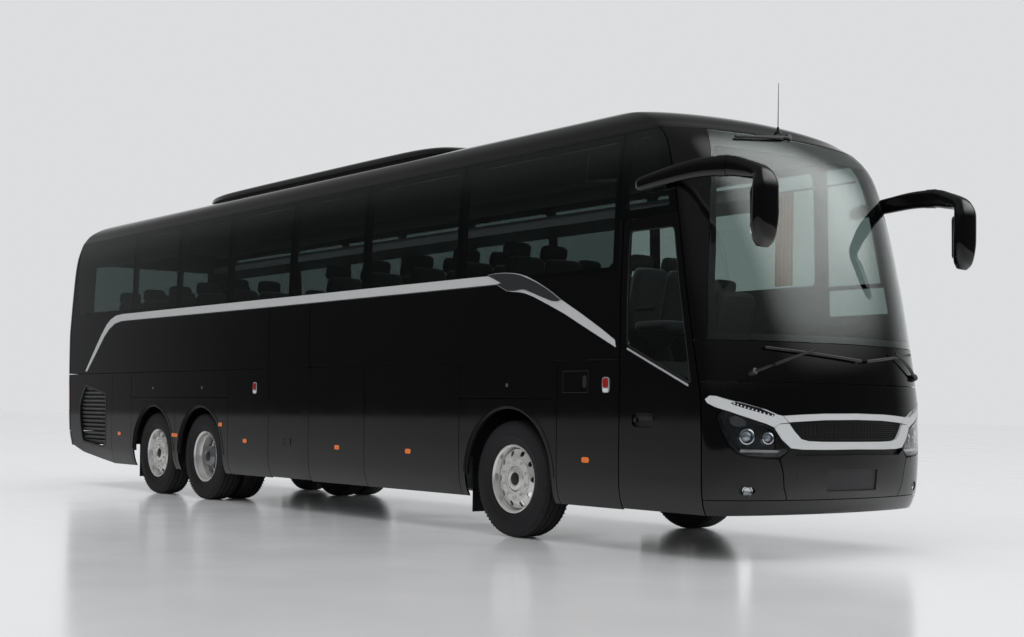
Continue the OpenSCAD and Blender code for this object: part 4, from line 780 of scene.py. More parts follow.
# Headlamps: a clear polycarbonate cover over a dark reflector bowl with a projector, a second
# bright reflector, and a bright wing of daytime lamps above, moulded as one with the surround.
def turned(profile, centre, axis, steps=48):
    """A closed profile of (radius, distance) pairs spun about an axis."""
    axis = Vector(axis).normalized()
    side_way = axis.orthogonal().normalized()
    other = axis.cross(side_way)
    area = sum(a[0] * b[1] - b[0] * a[1] for a, b in zip(profile, profile[1:] + profile[:1]))
    points, faces, n = [], [], len(profile)
    for k in range(steps):
        t = 2 * math.pi * k / steps
        out = side_way * math.cos(t) + other * math.sin(t)
        points += [tuple(Vector(centre) + out * max(r, 0.0004) + axis * h) for r, h in profile]
    for k in range(steps):
        m = (k + 1) % steps
        for i in range(n):
            j = (i + 1) % n
            quad = [k * n + i, m * n + i, m * n + j, k * n + j]
            faces.append(quad if area > 0 else quad[::-1])
    return points, faces


lamp_outline = [(-69.5, 1.157), (-72.6, 1.123), (-73.5, 1.090), (-70.2, 0.996), (-65.5, 0.892),
    (-60.3, 0.826), (-54.8, 0.804), (-46.7, 0.797), (-39.7, 0.798), (-36.2, 0.836), (-35.4, 0.861),
    (-38.3, 0.934), (-42.1, 1.017), (-46.6, 1.053), (-54.7, 1.096), (-62.7, 1.133)]
day_wing = [(-84.1, 1.237), (-79.2, 1.265), (-73.8, 1.262), (-56.8, 1.207), (-45.8, 1.165),
    (-40.3, 1.127), (-37.9, 1.118), (-35.4, 1.066), (-39.5, 1.059), (-41.9, 1.029), (-45.9, 1.058),
    (-54.7, 1.101), (-65.3, 1.148), (-74.2, 1.177), (-81.8, 1.210)]
led_strip = [(-64.7, 1.213), (-60.0, 1.222), (-49.3, 1.180), (-41.5, 1.128), (-42.3, 1.112),
    (-50.9, 1.149), (-62.6, 1.197)]
# Hard-coated polycarbonate: clear with a sharp highlight.
clear_cover = coating("clear_polycarbonate", "#f4f6f7", 0.0, 400, 0.0, 0.0, 0.0,
    Transmission_Weight=1.0, IOR=1.58)
# Smoked metal coating: a dim mirror inside the lamp.
dark_bowl = coating("smoked_reflector", "#4a4d52", 0.2, 20, 0.1, 0.06, 0.05, Metallic=0.9)
# Aluminium coated in vacuum: a bright mirror.
bright_bowl = coating("aluminised_reflector", "#e6e8ea", 0.08, 20, 0.05, 0.03, 0.0, Metallic=1.0)
# Moulded glass: a bright, cold point of light.
lens_glass = coating("projector_glass", "#c9d4dd", 0.03, 200, 0.0, 0.01, 0.0, Metallic=0.4,
    Coat_Weight=1.0)
for side, hand in ((-1, "right"), (1, "left")):
    turn = (lambda loop: loop) if side < 0 else mirrored
    outline = turn(lamp_outline)
    inside = shrunk(outline, 0.012)
    piece(hand + "_lamp_rim", [front_cut([outline, inside], 0.055)], ceramic_black, "body",
        *(["headlamps"] if side < 0 else []))
    piece(hand + "_lamp_bowl", [front_cut([outline], 0.006, -0.058)], dark_bowl, "body")
    piece(hand + "_lamp_cover", [front_cut([shrunk(outline, 0.010)], 0.003, 0.001)], clear_cover,
        "body")
    rings = []
    for angle, z, r in ((-56.2, 0.957, 0.060), (-45.2, 0.945, 0.046)):
        p = front_skin(side * -angle, z, 0.03)
        rings.append(turned([(r, -0.03), (r, 0.012), (r - 0.007, 0.016), (r - 0.012, 0.004),
            (r - 0.016, -0.03)], p, (0.86, side * 0.5, 0.04)))
    piece(hand + "_lamp_rings", rings, bright_bowl, "body")
    p = front_skin(side * 56.2, 0.957, 0.03)
    dome = [(0.0, 0.014), (0.016, 0.012), (0.030, 0.006), (0.040, -0.004), (0.044, -0.02),
        (0.0, -0.02)]
    q = front_skin(side * 45.2, 0.945, 0.03)
    piece(hand + "_projectors", [turned(dome, p, (0.86, side * 0.5, 0.04)),
        turned([(r * 0.72, h * 0.8) for r, h in dome], q, (0.86, side * 0.5, 0.04))], lens_glass,
        "body")
    quarter = turn([(-66.5, 1.10), (-62.5, 1.115), (-57.0, 1.085), (-56.0, 1.04), (-62.0, 1.03),
        (-66.0, 1.06)])
    strip = turn([(-60.0, 0.838), (-40.2, 0.836), (-39.2, 0.856), (-59.5, 0.860)])
    piece(hand + "_lamp_brights", [front_cut([quarter], 0.01, -0.035),
        front_cut([strip], 0.006, -0.02)], bright_bowl, "body")
    piece(hand + "_day_wing", [front_cut([turn(day_wing), turn(led_strip)], 0.03, 0.003,
        (1.6, 0.03))], satin_silver, "body")
    piece(hand + "_day_strip", [front_cut([turn(led_strip)], 0.006, -0.004)], dark_bowl, "body")
    beads = []
    for k in range(11):
        t = k / 10
        a, z = -62.3 + t * 19.5, 1.208 - t * 0.088
        c = front_skin(side * -a, z, 0.004)
        beads.append(turned([(0.0, 0.005), (0.005, 0.004), (0.0075, 0.0), (0.0075, -0.008),
            (0.0, -0.008)], c, (0.8, side * 0.6, 0.0), 10))
    piece(hand + "_day_beads", beads, white_lens, "body")
    rim_fog = turn(fog)
    c = front_skin(side * 54.9, 0.543, 0.016)
    piece(hand + "_fog_bezel", [front_cut([rim_fog, shrunk(rim_fog, 0.010)], 0.03, 0.001)],
        black_plastic, "body")
    piece(hand + "_fog_bowl", [turned([(0.0, -0.012), (0.040, 0.006), (0.042, -0.02),
        (0.0, -0.02)], c, (0.8, side * 0.6, 0), 32)], bright_bowl, "body")
    piece(hand + "_fog_lens", [turned([(0.0, 0.012), (0.020, 0.010), (0.038, 0.002), (0.038, 0.0),
        (0.0, 0.008)], c, (0.8, side * 0.6, 0), 32)], clear_cover, "body")


# Front door: an outward-swinging plug door with a sheet skin, a tall tinted pane bonded flush in
# it and a bright bead along the pane's sloping foot. It rides on its parallel arm.
door_front = corner_line(0.350, door_top, 0.012, steps=22)
door_loop = [(1.494, 0.350), *door_front, (1.494, door_top)]
pane_front = [(float(corner_x(z)) - float(np.interp(z, [1.346, 1.700, 2.590],
    [0.085, 0.080, 0.062])), z) for z in np.linspace(1.346, 2.590, 12)]
door_pane = rounded([(1.565, 1.671), *pane_front, (1.565, 2.590)],
    [0.04, 0.05, *[0.0] * 10, 0.05, 0.04])
handle = spot(1.770, 1.068, 0.26, 0.115)
piece("front_door_skin", [trimmed(right_skin, [door_loop, door_pane, handle], 0.03)], coach_black,
    "front_door", "front_door")
piece("front_door_seal", [trimmed(right_skin, [door_pane, shrunk(door_pane, 0.010, 1.0)], 0.012,
    0.0)], black_plastic, "front_door")
piece("front_door_pane", [trimmed(right_skin, [shrunk(door_pane, 0.008, 1.0)], 0.005, -0.002)],
    clear_glass, "front_door", "front_door_glass")
foot = [(1.575, 1.652), (float(corner_x(1.346)) - 0.12, 1.352),
    (float(corner_x(1.346)) - 0.12, 1.334), (1.575, 1.634)]
piece("front_door_bead", [trimmed(right_skin, [foot], 0.004, 0.003)], chrome_trim, "front_door")
piece("front_door_handle", [trimmed(right_skin, [handle], 0.004, -0.024),
    trimmed(right_skin, [spot(1.800, 1.082, 0.17, 0.036)], 0.022, 0.0),
    trimmed(right_skin, [spot(1.675, 1.068, 0.034, 0.034, 14)], 0.022, 0.001)], black_plastic,
    "front_door")


# Mirrors: arms and housings blow-moulded in gloss black with a step between their parts, each
# bolted to the roof corner; the flat glass faces back to the driver.
def swept(path, widths, heights, power=0.7, sides=24):
    """A rounded beam along a path of (x, y, z) points, closed at both ends."""
    path = np.array(path, float)
    points, faces = [], []
    for i, p in enumerate(path):
        ahead = Vector(path[min(i + 1, len(path) - 1)] - path[max(i - 1, 0)]).normalized()
        flat = Vector((0, 1, 0)) if abs(ahead.y) < 0.9 else Vector((0, 0, 1))
        out = (flat - ahead * flat.dot(ahead)).normalized()
        tall = ahead.cross(out)
        for t in np.linspace(0, 2 * math.pi, sides, endpoint=False):
            a = math.copysign(abs(math.cos(t)) ** power, math.cos(t)) * widths[i] / 2
            b = math.copysign(abs(math.sin(t)) ** power, math.sin(t)) * heights[i] / 2
            points.append(tuple(Vector(p) + out * a + tall * b))
    for i in range(len(path) - 1):
        for j in range(sides):
            k = (j + 1) % sides
            faces.append([i * sides + j, i * sides + k, (i + 1) * sides + k, (i + 1) * sides + j])
    faces += [list(range(sides))[::-1], [(len(path) - 1) * sides + j for j in range(sides)]]
    return points, faces


def finer(rows, steps=5):
    """Rows of numbers drawn as a smooth curve through them."""
    rows = np.array(rows, float)
    at = np.linspace(0, len(rows) - 1, (len(rows) - 1) * steps + 1)
    return np.stack([eased(np.arange(len(rows), dtype=float), rows[:, c], at)
        for c in range(rows.shape[1])], 1)


mirror_rows = [(1700, 1310, 2930, 30, 60), (1740, 1310, 2940, 60, 105),
    (2100, 1310, 2980, 64, 135), (2400, 1290, 2998, 70, 148), (2650, 1260, 2985, 86, 155),
    (2800, 1235, 2950, 120, 140), (2955, 1215, 2890, 180, 115), (2985, 1215, 2800, 240, 110),
    (2985, 1215, 2600, 250, 110), (2970, 1215, 2420, 200, 100), (2955, 1215, 2360, 100, 60)]
# Silvered glass: a plain mirror.
mirror_glass = coating("silvered_mirror_glass", "#dfe4e6", 0.02, 300, 0.0, 0.01, 0.0, Metallic=1.0)
rows = finer(mirror_rows) / 1000 * (1, 1, 1, 0.998, 0.998)
for side, hand in ((-1, "right"), (1, "left")):
    path = rows[:, :3] * (1, side, 1) + (front_axle, 0, 0)
    arm = swept(path, rows[:, 3], rows[:, 4])
    if side < 0:  # its faces are turned round if its first ring runs the other way
        arm = (arm[0], [f[::-1] for f in arm[1]]) if np.dot(np.cross(*(np.array(arm[0])[[1, 0]]
            - arm[0][24])), path[1] - path[0]) < 0 else arm
    lug = swept([(1.900 + front_axle, side * 1.215, 2.957),
        (1.900 + front_axle, side * 1.315, 2.957)], [0.09, 0.09], [0.055, 0.055], 0.5)
    collar = swept(path[18:21], rows[18:21, 3] + 0.008, rows[18:21, 4] + 0.008)
    piece(hand + "_mirror_arm", [arm, lug, collar], coach_black, "body",
        *(["mirrors"] if side < 0 else []), sharp=50)
    glass_x = 2.930 + front_axle
    piece(hand + "_mirror_glass", [trimmed(lambda y, z,
        inset: np.stack([np.full(len(y), glass_x) - inset, y, z], -1),
        [rounded([(side * 1.215 - 0.09, 2.44), (side * 1.215 + 0.09, 2.44),
        (side * 1.215 + 0.1, 2.80), (side * 1.215 - 0.1, 2.80)], 0.04)], 0.008, 0.0,
        cell=(0.1, 0.1))], mirror_glass, "body")


# Wipers: black sprung arms and flat blades parked along the foot of the glass, and one more short
# wiper across its top; all are steel with a rubber edge.
# Satin paint on steel: black with a soft highlight.
wiper_black = coating("satin_black_wiper_steel", "#101011", 0.4, 4, 0.05, 0.06, 0.06)


def on_screen(y, z, off):
    return front_skin(front_angle(y, z), z, -off)


wiper_shapes = []
for arm_points, blade_points in (([(-0.96, 1.450, 0.032), (-0.70, 1.545, 0.042),
        (-0.42, 1.640, 0.042)], [(-0.85, 1.640, 0.034), (-0.40, 1.600, 0.034),
        (0.05, 1.560, 0.04)]), ([(0.96, 1.450, 0.032), (0.77, 1.545, 0.042), (0.56, 1.640, 0.042)],
        [(0.90, 1.640, 0.034), (0.51, 1.600, 0.034), (0.12, 1.560, 0.04)]),
        ([(0.0, 3.420, 0.02), (-0.42, 3.380, 0.032)],
        [(-0.10, 3.400, 0.026), (-0.37, 3.375, 0.026), (-0.64, 3.350, 0.026)])):
    fine = finer(arm_points, 6)
    n = len(fine)
    wiper_shapes.append(swept([on_screen(*p) for p in fine], np.linspace(0.030, 0.018, n),
        np.linspace(0.024, 0.014, n), 0.8, 12))
    fine = finer(blade_points, 8)
    wiper_shapes.append(swept([on_screen(y, z, off - 0.004) for y, z, off in fine],
        [0.024] * len(fine), [0.020] * len(fine), 0.9, 10))
    y, z, off = arm_points[0]
    wiper_shapes.append(turned([(0.0, 0.026), (0.026, 0.024), (0.030, 0.0), (0.030, -0.03),
        (0.0, -0.03)], on_screen(y, z, off - 0.01), (0.95, 0, 0.3), 20))
piece("wiper_arms", wiper_shapes, wiper_black, "body", "wipers", sharp=50)


# Roof air conditioner: a moulded cover on a black plinth, bolted over the saloon, with the shadow
# gap that lets air in; and the whip aerial on its rubber foot.
cover_rows = [(-1, .5, .15), (-.96, .8, .5), (-.88, .95, .8), (-.7, 1, .95), (-.3, 1, 1),
    (.3, 1, 1), (.7, 1, .95), (.88, .95, .8), (.96, .8, .5), (1, .5, .15)]
fine_rows = finer(cover_rows, 4)
cover_points, cover_faces, m = [], [], 25
for share, wide, high in fine_rows:
    for t in np.linspace(0, math.pi, m):
        cover_points.append((-4.45 + front_axle + share * 2.75, -math.cos(t) * 0.78 * wide,
            3.732 + 0.148 * high * math.sin(t) ** 0.6 if 0 < t < math.pi else 3.732))
for i in range(len(fine_rows) - 1):
    cover_faces += [[i * m + j, (i + 1) * m + j, (i + 1) * m + (j + 1) % m, i * m + (j + 1) % m]
        for j in range(m)]
cover_faces += [list(range(m)), [(len(fine_rows) - 1) * m + j for j in range(m)][::-1]]
piece("aircon_cover", [(cover_points, cover_faces)], coach_black, "body", "roof_aircon", sharp=50)
plinth = rounded([(-7.10, -0.72), (-1.80, -0.72), (-1.80, 0.72), (-7.10, 0.72)], 0.3)
piece("aircon_plinth", [trimmed(lambda x, y, inset: np.stack([x + front_axle, y, 3.736 - inset],
    -1), [plinth], 0.05, 0.0, cell=(0.4, 0.4))], black_plastic, "body")
mast = [(0.0, 0.41), (0.0022, 0.409), (0.004, 0.05), (0.010, 0.045), (0.012, 0.012),
    (0.030, 0.006), (0.038, -0.012), (0.0, -0.012)]
aerial_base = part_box("antenna")
piece("aerial", [turned([(r, h * (aerial_base[1][2] - aerial_base[0][2] - 0.004) / 0.422 )
    for r, h in mast], (0.5 * (aerial_base[0][0] + aerial_base[1][0]),
    0.5 * (aerial_base[0][1] + aerial_base[1][1]), aerial_base[0][2] + 0.014), (0, 0, 1), 20)],
    black_plastic, "body", "antenna")


# Rear: one moulded wall with a bonded window, wrap-round lamp corners, a louvred engine lid hung
# at its top edge and a bumper below it.
def rear_angle(y, z):
    return math.copysign(math.degrees(math.asin(min(1, (abs(y) / half(z)) ** 1.75))), y)


def rear_box(y0, y1, z0, z1):
    return [(rear_angle(y0, z0), z0), (rear_angle(y1, z0), z0), (rear_angle(y1, z1), z1),
        (rear_angle(y0, z1), z1)]


rear_pane = rounded(rear_box(-0.898, 0.898, 2.382, 3.148), 0.08)
piece("rear_wall_skin", [rear_cut([[(-89.5, 1.566), (89.5, 1.566), (89.5, 3.404), (-89.5, 3.404)],
    rear_pane])], coach_black, "body", "rear_wall")
piece("rear_window_glass", [rear_cut([rear_pane], 0.006, -0.001)], tinted_glass, "body",
    "rear_window")
corner_shapes, red_shapes, white_shapes, dim_shapes = [], [], [], []
for side in (-1, 1):
    near = rear_angle(0.940, 1.1)
    loop = [(side * near, 0.756), (side * 89.5, 0.756), (side * 89.5, 1.556), (side * near, 1.556)]
    lamp_loop = rounded([(side * 62, 1.02), (side * 89.0, 1.05), (side * 89.0, 1.43),
        (side * 66, 1.40)], 0.05)
    corner_shapes.append(rear_cut([loop, lamp_loop]))
    red_shapes.append(rear_cut([shrunk(lamp_loop, 0.006)], 0.02))
    white_shapes.append(rear_cut([[(side * 64, 1.10), (side * 87, 1.12), (side * 87, 1.15),
        (side * 64, 1.13)]], 0.01, 0.0015))
    dim_shapes.append(rear_cut([[(side * 50, 0.64), (side * 66, 0.64), (side * 66, 0.69),
        (side * 50, 0.69)]], 0.006, 0.001))
piece("rear_corner_skins", corner_shapes, coach_black, "body", "rear_corners")
piece("tail_lamps", red_shapes, red_lens, "body")
piece("reversing_lamps", white_shapes, white_lens, "body")
piece("rear_reflectors", dim_shapes, red_lens, "body")
piece("rear_bumper_skin", [rear_cut([[(-89.5, 0.554), (89.5, 0.554), (89.5, 0.750),
    (-89.5, 0.750)]])], coach_black, "body", "rear_bumper")
lid_loop = rear_box(-0.928, 0.928, 0.762, 1.554)
vent = rear_box(-0.60, 0.60, 1.16, 1.46)
back_plate = rear_box(-0.27, 0.27, 0.86, 0.99)
piece("engine_lid_skin", [rear_cut([lid_loop, vent, back_plate])], coach_black, "engine_lid",
    "engine_lid")
slats = [rear_cut([vent], 0.004, -0.028, (8, 0.1))]
for z in np.arange(1.172, 1.45, 0.024):
    slats.append(rear_cut([rear_box(-0.60, 0.60, z, z + 0.009)], 0.02, -0.004, (8, 0.05)))
piece("engine_lid_louvres", slats, black_plastic, "engine_lid")
piece("rear_plate_blank", [rear_cut([back_plate], 0.01, -0.014, (8, 0.1))], plate_back,
    "engine_lid")


# Tyres: radial coach tyres of carbon-black rubber with four grooves round the tread, edge slots
# and raised rings on the walls; the pair on the drive axle share one hub.
# Carbon-black rubber: dull and nearly black, dusty in broad patches.
tyre_rubber = coating("black_tyre_rubber", "#17171a", 0.75, 6, 0.4, 0.08, 0.12)
# Forged and polished: bright, with a faint cloudiness 14 mm across.
polished = coating("polished_forged_aluminium", "#e0e0dd", 0.2, 14, 0.02, 0.05, 0.02,
    Metallic=0.62)
# Painted casting: a grey metal sheen over a 3 mm sand texture.
cast_grey = coating("satin_hub_casting", "#8d9093", 0.36, 3, 0.1, 0.08, 0.06, Metallic=0.9)
tread = [(0.300, -0.105), (0.330, -0.132), (0.380, -0.144), (0.384, -0.1475), (0.392, -0.1475),
    (0.396, -0.145), (0.430, -0.1475), (0.470, -0.143), (0.498, -0.134), (0.514, -0.120)]
for g in (-0.088, -0.032, 0.032, 0.088):
    tread += [(0.5215, g - 0.007), (0.508, g - 0.005), (0.508, g + 0.005), (0.5215, g + 0.007)]
tread += [(r, -h) for r, h in tread[:10][::-1]]
tread += [(0.292, 0.100), (0.292, -0.100)]


def in_a_ring(tree, inputs):
    circle = node(tree, "GeometryNodeMeshCircle",
        links={"Vertices": inputs["Count"], "Radius": inputs["Radius"]})
    spot_at = node(tree, "GeometryNodeInputPosition")
    aim = node(tree, "FunctionNodeAlignEulerToVector", {"axis": "X"},
        {"Vector": spot_at.outputs[0]})
    return circle.outputs["Mesh"], aim.outputs[0]


def shoulder_slots(place, count=72):
    """Short slots round each tread shoulder, as dark rubber bars set just proud of it."""
    given = {"Count": ("Int", count), "Radius": ("Float", 0.4985),
        "Size": ("Vector", (0.016, 0.011, 0.020))}
    ring, faces = bars("shoulder_slots", given, in_a_ring, tyre_rubber)
    return [(np.stack([ring[:, 0], ring[:, 2] + s * 0.129, -ring[:, 1]], 1) + place, faces)
        for s in (-1, 1)]


# Wheels: forged aluminium discs, polished, with ten round hand holes and ten nuts on a raised
# ring; the drive pair shows the deep barrel of its outer rim round a recessed disc.
def nut_ring(place, side, radius, high):
    points, faces = [], []
    for k in range(10):
        t = 2 * math.pi * (k + 0.5) / 10
        c = np.array(place) + (radius * math.cos(t), 0, radius * math.sin(t))
        p, f = turned([(0.0, high), (0.010, high), (0.013, high - 0.005), (0.0165, high - 0.012),
            (0.0165, 0.004), (0.021, 0.002), (0.021, 0.0), (0.0, 0.0)], c, (0, side, 0), 6)
        faces += [[i + len(points) for i in face] for face in f]
        points += p
    return points, faces


def ring_of(count, radius, hole, turn=0.0):
    made = []
    for k in range(count):
        t = 2 * math.pi * (k + turn) / count
        made.append([(radius * math.cos(t) + hole * math.cos(s),
            radius * math.sin(t) + hole * math.sin(s))
            for s in np.linspace(0, 2 * math.pi, 20, endpoint=False)])
    return made


wheel_y, wheel_z, twin_step = 1.0725, 0.522, 0.330
for hand, side in (("right", -1), ("left", 1)):
    for label, x, body, twin in (("front", 0.0, "front_wheel_", False),
            ("drive", -6.090, "drive_wheels_", True), ("tag", -7.440, "tag_wheel_", False)):
        middle = np.array((x + front_axle, side * wheel_y, wheel_z))
        tyre_node = f"{label}_tyre{'s' if twin else ''}_{hand}"
        rim_node = f"{label}_rim{'s' if twin else ''}_{hand}"
        places = [middle, middle - (0, side * twin_step, 0)] if twin else [middle]
        rubber = [turned(tread, p, (0, side, 0), 96) for p in places]
        for p in places:
            rubber += shoulder_slots(p)
        piece(tyre_node + "_rubber", rubber, tyre_rubber, body + hand, tyre_node, sharp=28)
        barrel = [(0.2915, -0.120), (0.307, -0.120), (0.307, -0.112), (0.293, -0.104),
            (0.290, -0.06), (0.272, -0.04), (0.272, 0.03), (0.290, 0.06), (0.293, 0.104),
            (0.307, 0.112), (0.307, 0.121), (0.300, 0.122), (0.284, 0.108), (0.281, 0.06),
            (0.263, 0.03), (0.263, -0.04), (0.281, -0.06), (0.284, -0.108)]
        metal = [turned(barrel, p, (0, side, 0), 72) for p in places]
        face_y, root_y, hub_r, top = (-0.151, -0.085, 0.125, 0.090) if twin else (0.092, 0.060,
            0.130, 0.110)
        dish_r = [0.0, 0.14, 0.196, 0.212, 0.246, 0.266]
        dish_h = [face_y, face_y, face_y, face_y + (0.006 if twin else -0.006),
            root_y + (-0.012 if twin else 0.008), root_y]

        def disc(u, v, inset, middle=middle, side=side, dish_r=dish_r, dish_h=dish_h):
            return np.stack([middle[0] + u, middle[1] + side
                * (np.interp(np.hypot(u, v), dish_r, dish_h) - inset), middle[2] + v], -1)
        circle = [(0.2645 * math.cos(t), 0.2645 * math.sin(t))
            for t in np.linspace(0, 2 * math.pi, 72, endpoint=False)]
        bore = [(0.118 * math.cos(t), 0.118 * math.sin(t))
            for t in np.linspace(0, 2 * math.pi, 40, endpoint=False)]
        metal.append(trimmed(disc, [circle, bore, *ring_of(10, 0.232, 0.0255)], 0.012, 0.0,
            cell=(0.02, 0.02)))
        seat_ring = [(0.142, 0.0), (0.142, 0.007), (0.192, 0.007), (0.194, 0.005), (0.194, 0.0)]
        foot_at = middle + (0, side * face_y, 0)
        metal.append(turned(seat_ring, foot_at, (0, side, 0), 72))
        metal.append(nut_ring(middle + (0, side * (face_y + 0.007), 0), side, 0.1675, 0.028))
        piece(rim_node + "_metal", metal, polished, body + hand, rim_node, sharp=30)
        cap = [(0.0, face_y - 0.02), (hub_r, face_y - 0.02), (hub_r, top - 0.045),
            (hub_r - 0.006, top - 0.034), (hub_r - 0.022, top - 0.024),
            (hub_r - 0.030, top - 0.010), (0.070, top - 0.004), (0.062, top - 0.012),
            (0.0, top - 0.012)]
        piece(rim_node + "_hub", [turned(cap, middle, (0, side, 0), 60),
            nut_ring(middle + (0, side * (top - 0.026), 0), side, 0.088, 0.010)],
            cast_grey if twin else polished, body + hand, sharp=30)
        piece(rim_node + "_cap", [turned([(0.0, 0.004), (0.020, 0.003), (0.050, 0.0),
            (0.058, -0.006), (0.058, -0.016), (0.0, -0.016)],
            middle + (0, side * (top - 0.004), 0), (0, side, 0), 48)], black_plastic, body + hand,
            sharp=30)


# Passenger seats: pairs on a steel leg, each a moulded foam cushion and a tall back in a dark
# woven cover with sewn channels, with a padded headrest on top.
def pad(centre, size, lean=0.0, crown=0.55, corner=0.35, rings=14, around=36):
    """A stuffed form: crowned along its thin axis (z), round in plan, with two sewn channels."""
    def soft(value, power):
        return math.copysign(abs(value) ** power, value)
    points, faces = [], []
    for i in range(1, rings):
        lat = math.pi * (i / rings - 0.5)
        for j in range(around):
            lon = 2 * math.pi * j / around
            u, v = soft(math.cos(lat), crown) * soft(math.cos(lon), corner), soft(math.cos(lat),
                crown) * soft(math.sin(lon), corner)
            w = soft(math.sin(lat), crown)
            w *= 1 - 0.16 * math.exp(-((abs(v) - 0.42) / 0.05) ** 2)
            points.append((u * size[0] / 2, v * size[1] / 2, w * size[2] / 2))
    low, high = len(points), len(points) + 1
    points += [(0, 0, -size[2] / 2 * 0.99), (0, 0, size[2] / 2 * 0.99)]
    for i in range(rings - 2):
        faces += [[i * around + j, i * around + (j + 1) % around,
            (i + 1) * around + (j + 1) % around, (i + 1) * around + j] for j in range(around)]
    faces += [[low, (j + 1) % around, j] for j in range(around)] + [[high,
        (rings - 2) * around + j, (rings - 2) * around + (j + 1) % around] for j in range(around)]
    turn = Matrix.Rotation(lean, 3, "Y")
    return [tuple(turn @ Vector(p) + Vector(centre)) for p in points], faces


# Woven cloth: dull with a soft edge light. Its weave is drawn as a 2.2 mm fleck.
seat_cloth = coating("woven_seat_cloth_dark_grey", "#37383b", 0.92, 2.2, 0.5, 0.04, 0.16,
    Sheen_Weight=0.25)
# Grained leather: black with a soft sheen over a 3 mm grain.
seat_leather = coating("black_grained_leather", "#222224", 0.5, 3, 0.3, 0.08, 0.08)
# Powder coat: black, with a 2.5 mm orange peel.
black_steel = coating("powder_coated_seat_steel", "#26272a", 0.55, 2.5, 0.1, 0.06, 0.05)
cushions, backs, heads, legs = [], [], [], []
lean_back = math.atan2(0.165, 0.71)
for row in range(12):
    x = 0.290 - 0.780 * row
    for side in (-1, 1):
        if side < 0 and not (x - 0.6 > -3.479 or x + 0.06 < -4.369):
            continue
        for y in (0.552, 0.988):
            cushions.append(pad((x - 0.195 + front_axle, side * y, 1.955), (0.465, 0.425, 0.112),
                crown=0.5, corner=0.3))
            backs.append(pad((x - 0.452 + front_axle, side * y, 2.235), (0.60, 0.425, 0.095),
                math.pi / 2 + lean_back, crown=0.5, corner=0.3))
            heads.append(pad((x - 0.538 + front_axle, side * y, 2.585), (0.17, 0.30, 0.085),
                math.pi / 2 + lean_back, crown=0.6, corner=0.5, rings=10, around=24))
            legs.append(swept([(x - 0.20 + front_axle, side * y, 1.585),
                (x - 0.20 + front_axle, side * y, 1.75), (x - 0.24 + front_axle, side * y, 1.895)],
                [0.06, 0.05, 0.30], [0.30, 0.16, 0.30], 0.5, 12))
        legs.append(swept([(x - 0.36 + front_axle, side * 0.338, 2.115),
            (x - 0.10 + front_axle, side * 0.338, 2.115)], [0.035, 0.035], [0.045, 0.045], 0.7,
            12))
piece("seat_frames", legs, black_steel, "body", "passenger_seats")
for name, shapes, cover in (("seat_cushions", cushions, seat_cloth),
        ("seat_backs", backs, seat_cloth), ("seat_headrests", heads, seat_leather)):
    piece(name, shapes, cover, "body", sharp=80)
driver = [pad((1.350 - 0.19 + front_axle, 0.620, 1.535), (0.48, 0.48, 0.12), crown=0.5,
    corner=0.3)]
driver_back = [pad((1.350 - 0.445 + front_axle, 0.620, 1.90), (0.70, 0.46, 0.11),
    math.pi / 2 + lean_back, crown=0.5, corner=0.3)]
piece("driver_cushion", driver, seat_leather, "body", "driver_seat", sharp=80)
piece("driver_back", driver_back, seat_leather, "body", sharp=80)
piece("driver_headrest", [pad((1.350 - 0.545 + front_axle, 0.620, 2.28),
    (0.17, 0.28, 0.09), math.pi / 2 + lean_back, crown=0.6, corner=0.5)], seat_leather, "body",
    sharp=80)
piece("driver_seat_base", [swept([(1.12 + front_axle, 0.62, 1.155),
    (1.12 + front_axle, 0.62, 1.30), (1.14 + front_axle, 0.62, 1.47)], [0.36, 0.30, 0.40],
    [0.34, 0.28, 0.38], 0.5)], black_steel, "body")


# Curtain: a pleated brown polyester curtain gathered at the driver's side pillar on a short rail.
# Woven polyester: dull brown with a soft edge light. Its weave is drawn as a 2 mm fleck.
curtain_cloth = coating("brown_woven_curtain", "#7d5a3c", 0.9, 2, 0.5, 0.04, 0.15,
    Sheen_Weight=0.3)
folds, tall, drop_height = 72, 16, 0.86
curtain_x = np.linspace(0, 0.22, folds)
cloth_points, cloth_faces = [], []
for i in range(tall):
    z = 2.32 + drop_height * i / (tall - 1)
    for x in curtain_x:
        swing = 0.020 * math.sin(x / 0.22 * 2 * math.pi * 5) * (0.75 + 0.25
            * math.cos(i / (tall - 1) * math.pi))
        cloth_points.append((0.98 + x + front_axle, 1.118 + swing, z))
for i in range(tall - 1):
    cloth_faces += [[i * folds + j, i * folds + j + 1, (i + 1) * folds + j + 1,
        (i + 1) * folds + j] for j in range(folds - 1)]
curtain_piece = piece("driver_curtain", [(cloth_points, cloth_faces)], curtain_cloth, "body",
    sharp=180)
piece("curtain_rail", [swept([(0.90 + front_axle, 1.118, 3.192),
    (1.90 + front_axle, 1.118, 3.192)], [0.02, 0.02], [0.018, 0.018], 0.9, 12)], black_steel,
    "body")


# Cab: a soft-touch dashboard with an instrument screen, and a studded rubber floor; racks of
# moulded grey plastic run above the seats.
# Soft-touch moulding: grey with a dull, fine sheen.
dash_skin = coating("soft_touch_dash_plastic", "#4b4d50", 0.62, 2.5, 0.25, 0.06, 0.06)
# Moulded plastic: mid grey with a soft sheen.
rack_plastic = coating("moulded_rack_plastic", "#6d6f70", 0.55, 4, 0.2, 0.08, 0.05)
# Glass over a dark display: nearly black with a sharp reflection.
screen_dark = coating("instrument_screen", "#0a0d12", 0.12, 60, 0.0, 0.04, 0.03, Coat_Weight=1.0)
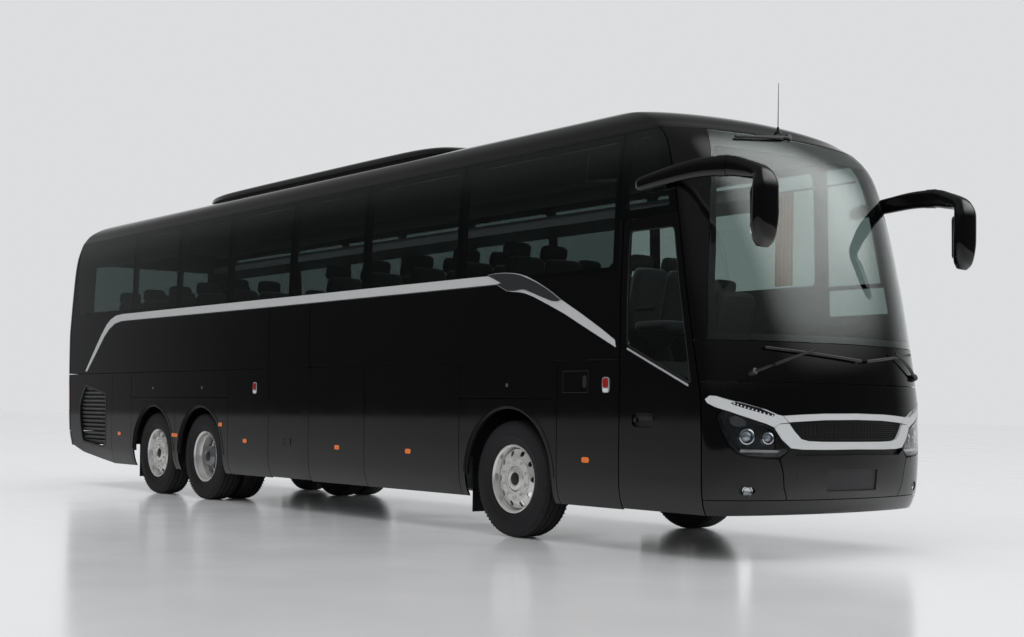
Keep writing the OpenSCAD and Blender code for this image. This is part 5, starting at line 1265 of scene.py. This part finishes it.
# Rubber flooring: dull, with a relief 9 mm across for its studs.
floor_rubber = coating("studded_rubber_floor", "#3a3b3d", 0.7, 9, 0.6, 0.08, 0.08)
cluster = rounded([(0.40, 1.60), (0.84, 1.60), (0.84, 1.70), (0.40, 1.70)], 0.02)
dash_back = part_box("dashboard")[0][0]
piece("instrument_cluster", [trimmed(lambda y, z,
    inset: np.stack([np.full(len(y), dash_back - 0.004) + inset, y, z], -1), [cluster], 0.02, 0.0,
    cell=(0.1, 0.05))], screen_dark, "body")


# Frame and running gear: welded steel under black chassis paint, cast axles, rubber air springs
# and an iron engine. These keep their load-bearing shapes and get the finish of the real part.
# Sprayed chassis paint: black with an uneven sheen.
chassis_paint = coating("black_chassis_paint", "#1c1d1f", 0.5, 5, 0.2, 0.1, 0.12)
# Painted cast iron: dark, with a 2.5 mm sand texture.
axle_iron = coating("painted_cast_iron", "#2a2b2d", 0.6, 2.5, 0.3, 0.1, 0.12, Metallic=0.3)
# Moulded rubber: dull and nearly black.
bellows_rubber = coating("air_spring_rubber", "#1a1a1b", 0.8, 5, 0.3, 0.06, 0.1)
# Sprayed cast iron: grey with an uneven metal sheen.
engine_iron = coating("sprayed_engine_iron", "#5a5d61", 0.5, 4, 0.3, 0.1, 0.12, Metallic=0.5)
# Galvanised sheet: grey metal with an 18 mm spangle.
bay_lining = coating("galvanised_bay_lining", "#8a8d8f", 0.42, 18, 0.1, 0.1, 0.1, Metallic=0.7)
# Stitched leather: black with a soft sheen.
wheel_leather = coating("stitched_black_leather", "#18181a", 0.45, 3, 0.3, 0.08, 0.06)
finishes = {"chassis_frame": chassis_paint, "luggage_bay": bay_lining, "cabin_floor": floor_rubber,
    "wheel_housings": black_plastic, "front_axle_beam": axle_iron, "drive_axle_housing": axle_iron,
    "tag_axle_beam": axle_iron, "air_springs": bellows_rubber, "engine_block": engine_iron,
    "dashboard": dash_skin, "steering_wheel": wheel_leather, "luggage_racks": rack_plastic,
    "front_door_arm": lock_steel, "mid_door_arm": lock_steel, "right_knuckle": axle_iron,
    "left_knuckle": axle_iron}
for name, finish in finishes.items():
    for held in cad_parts[name].material_slots:
        held.material = finish
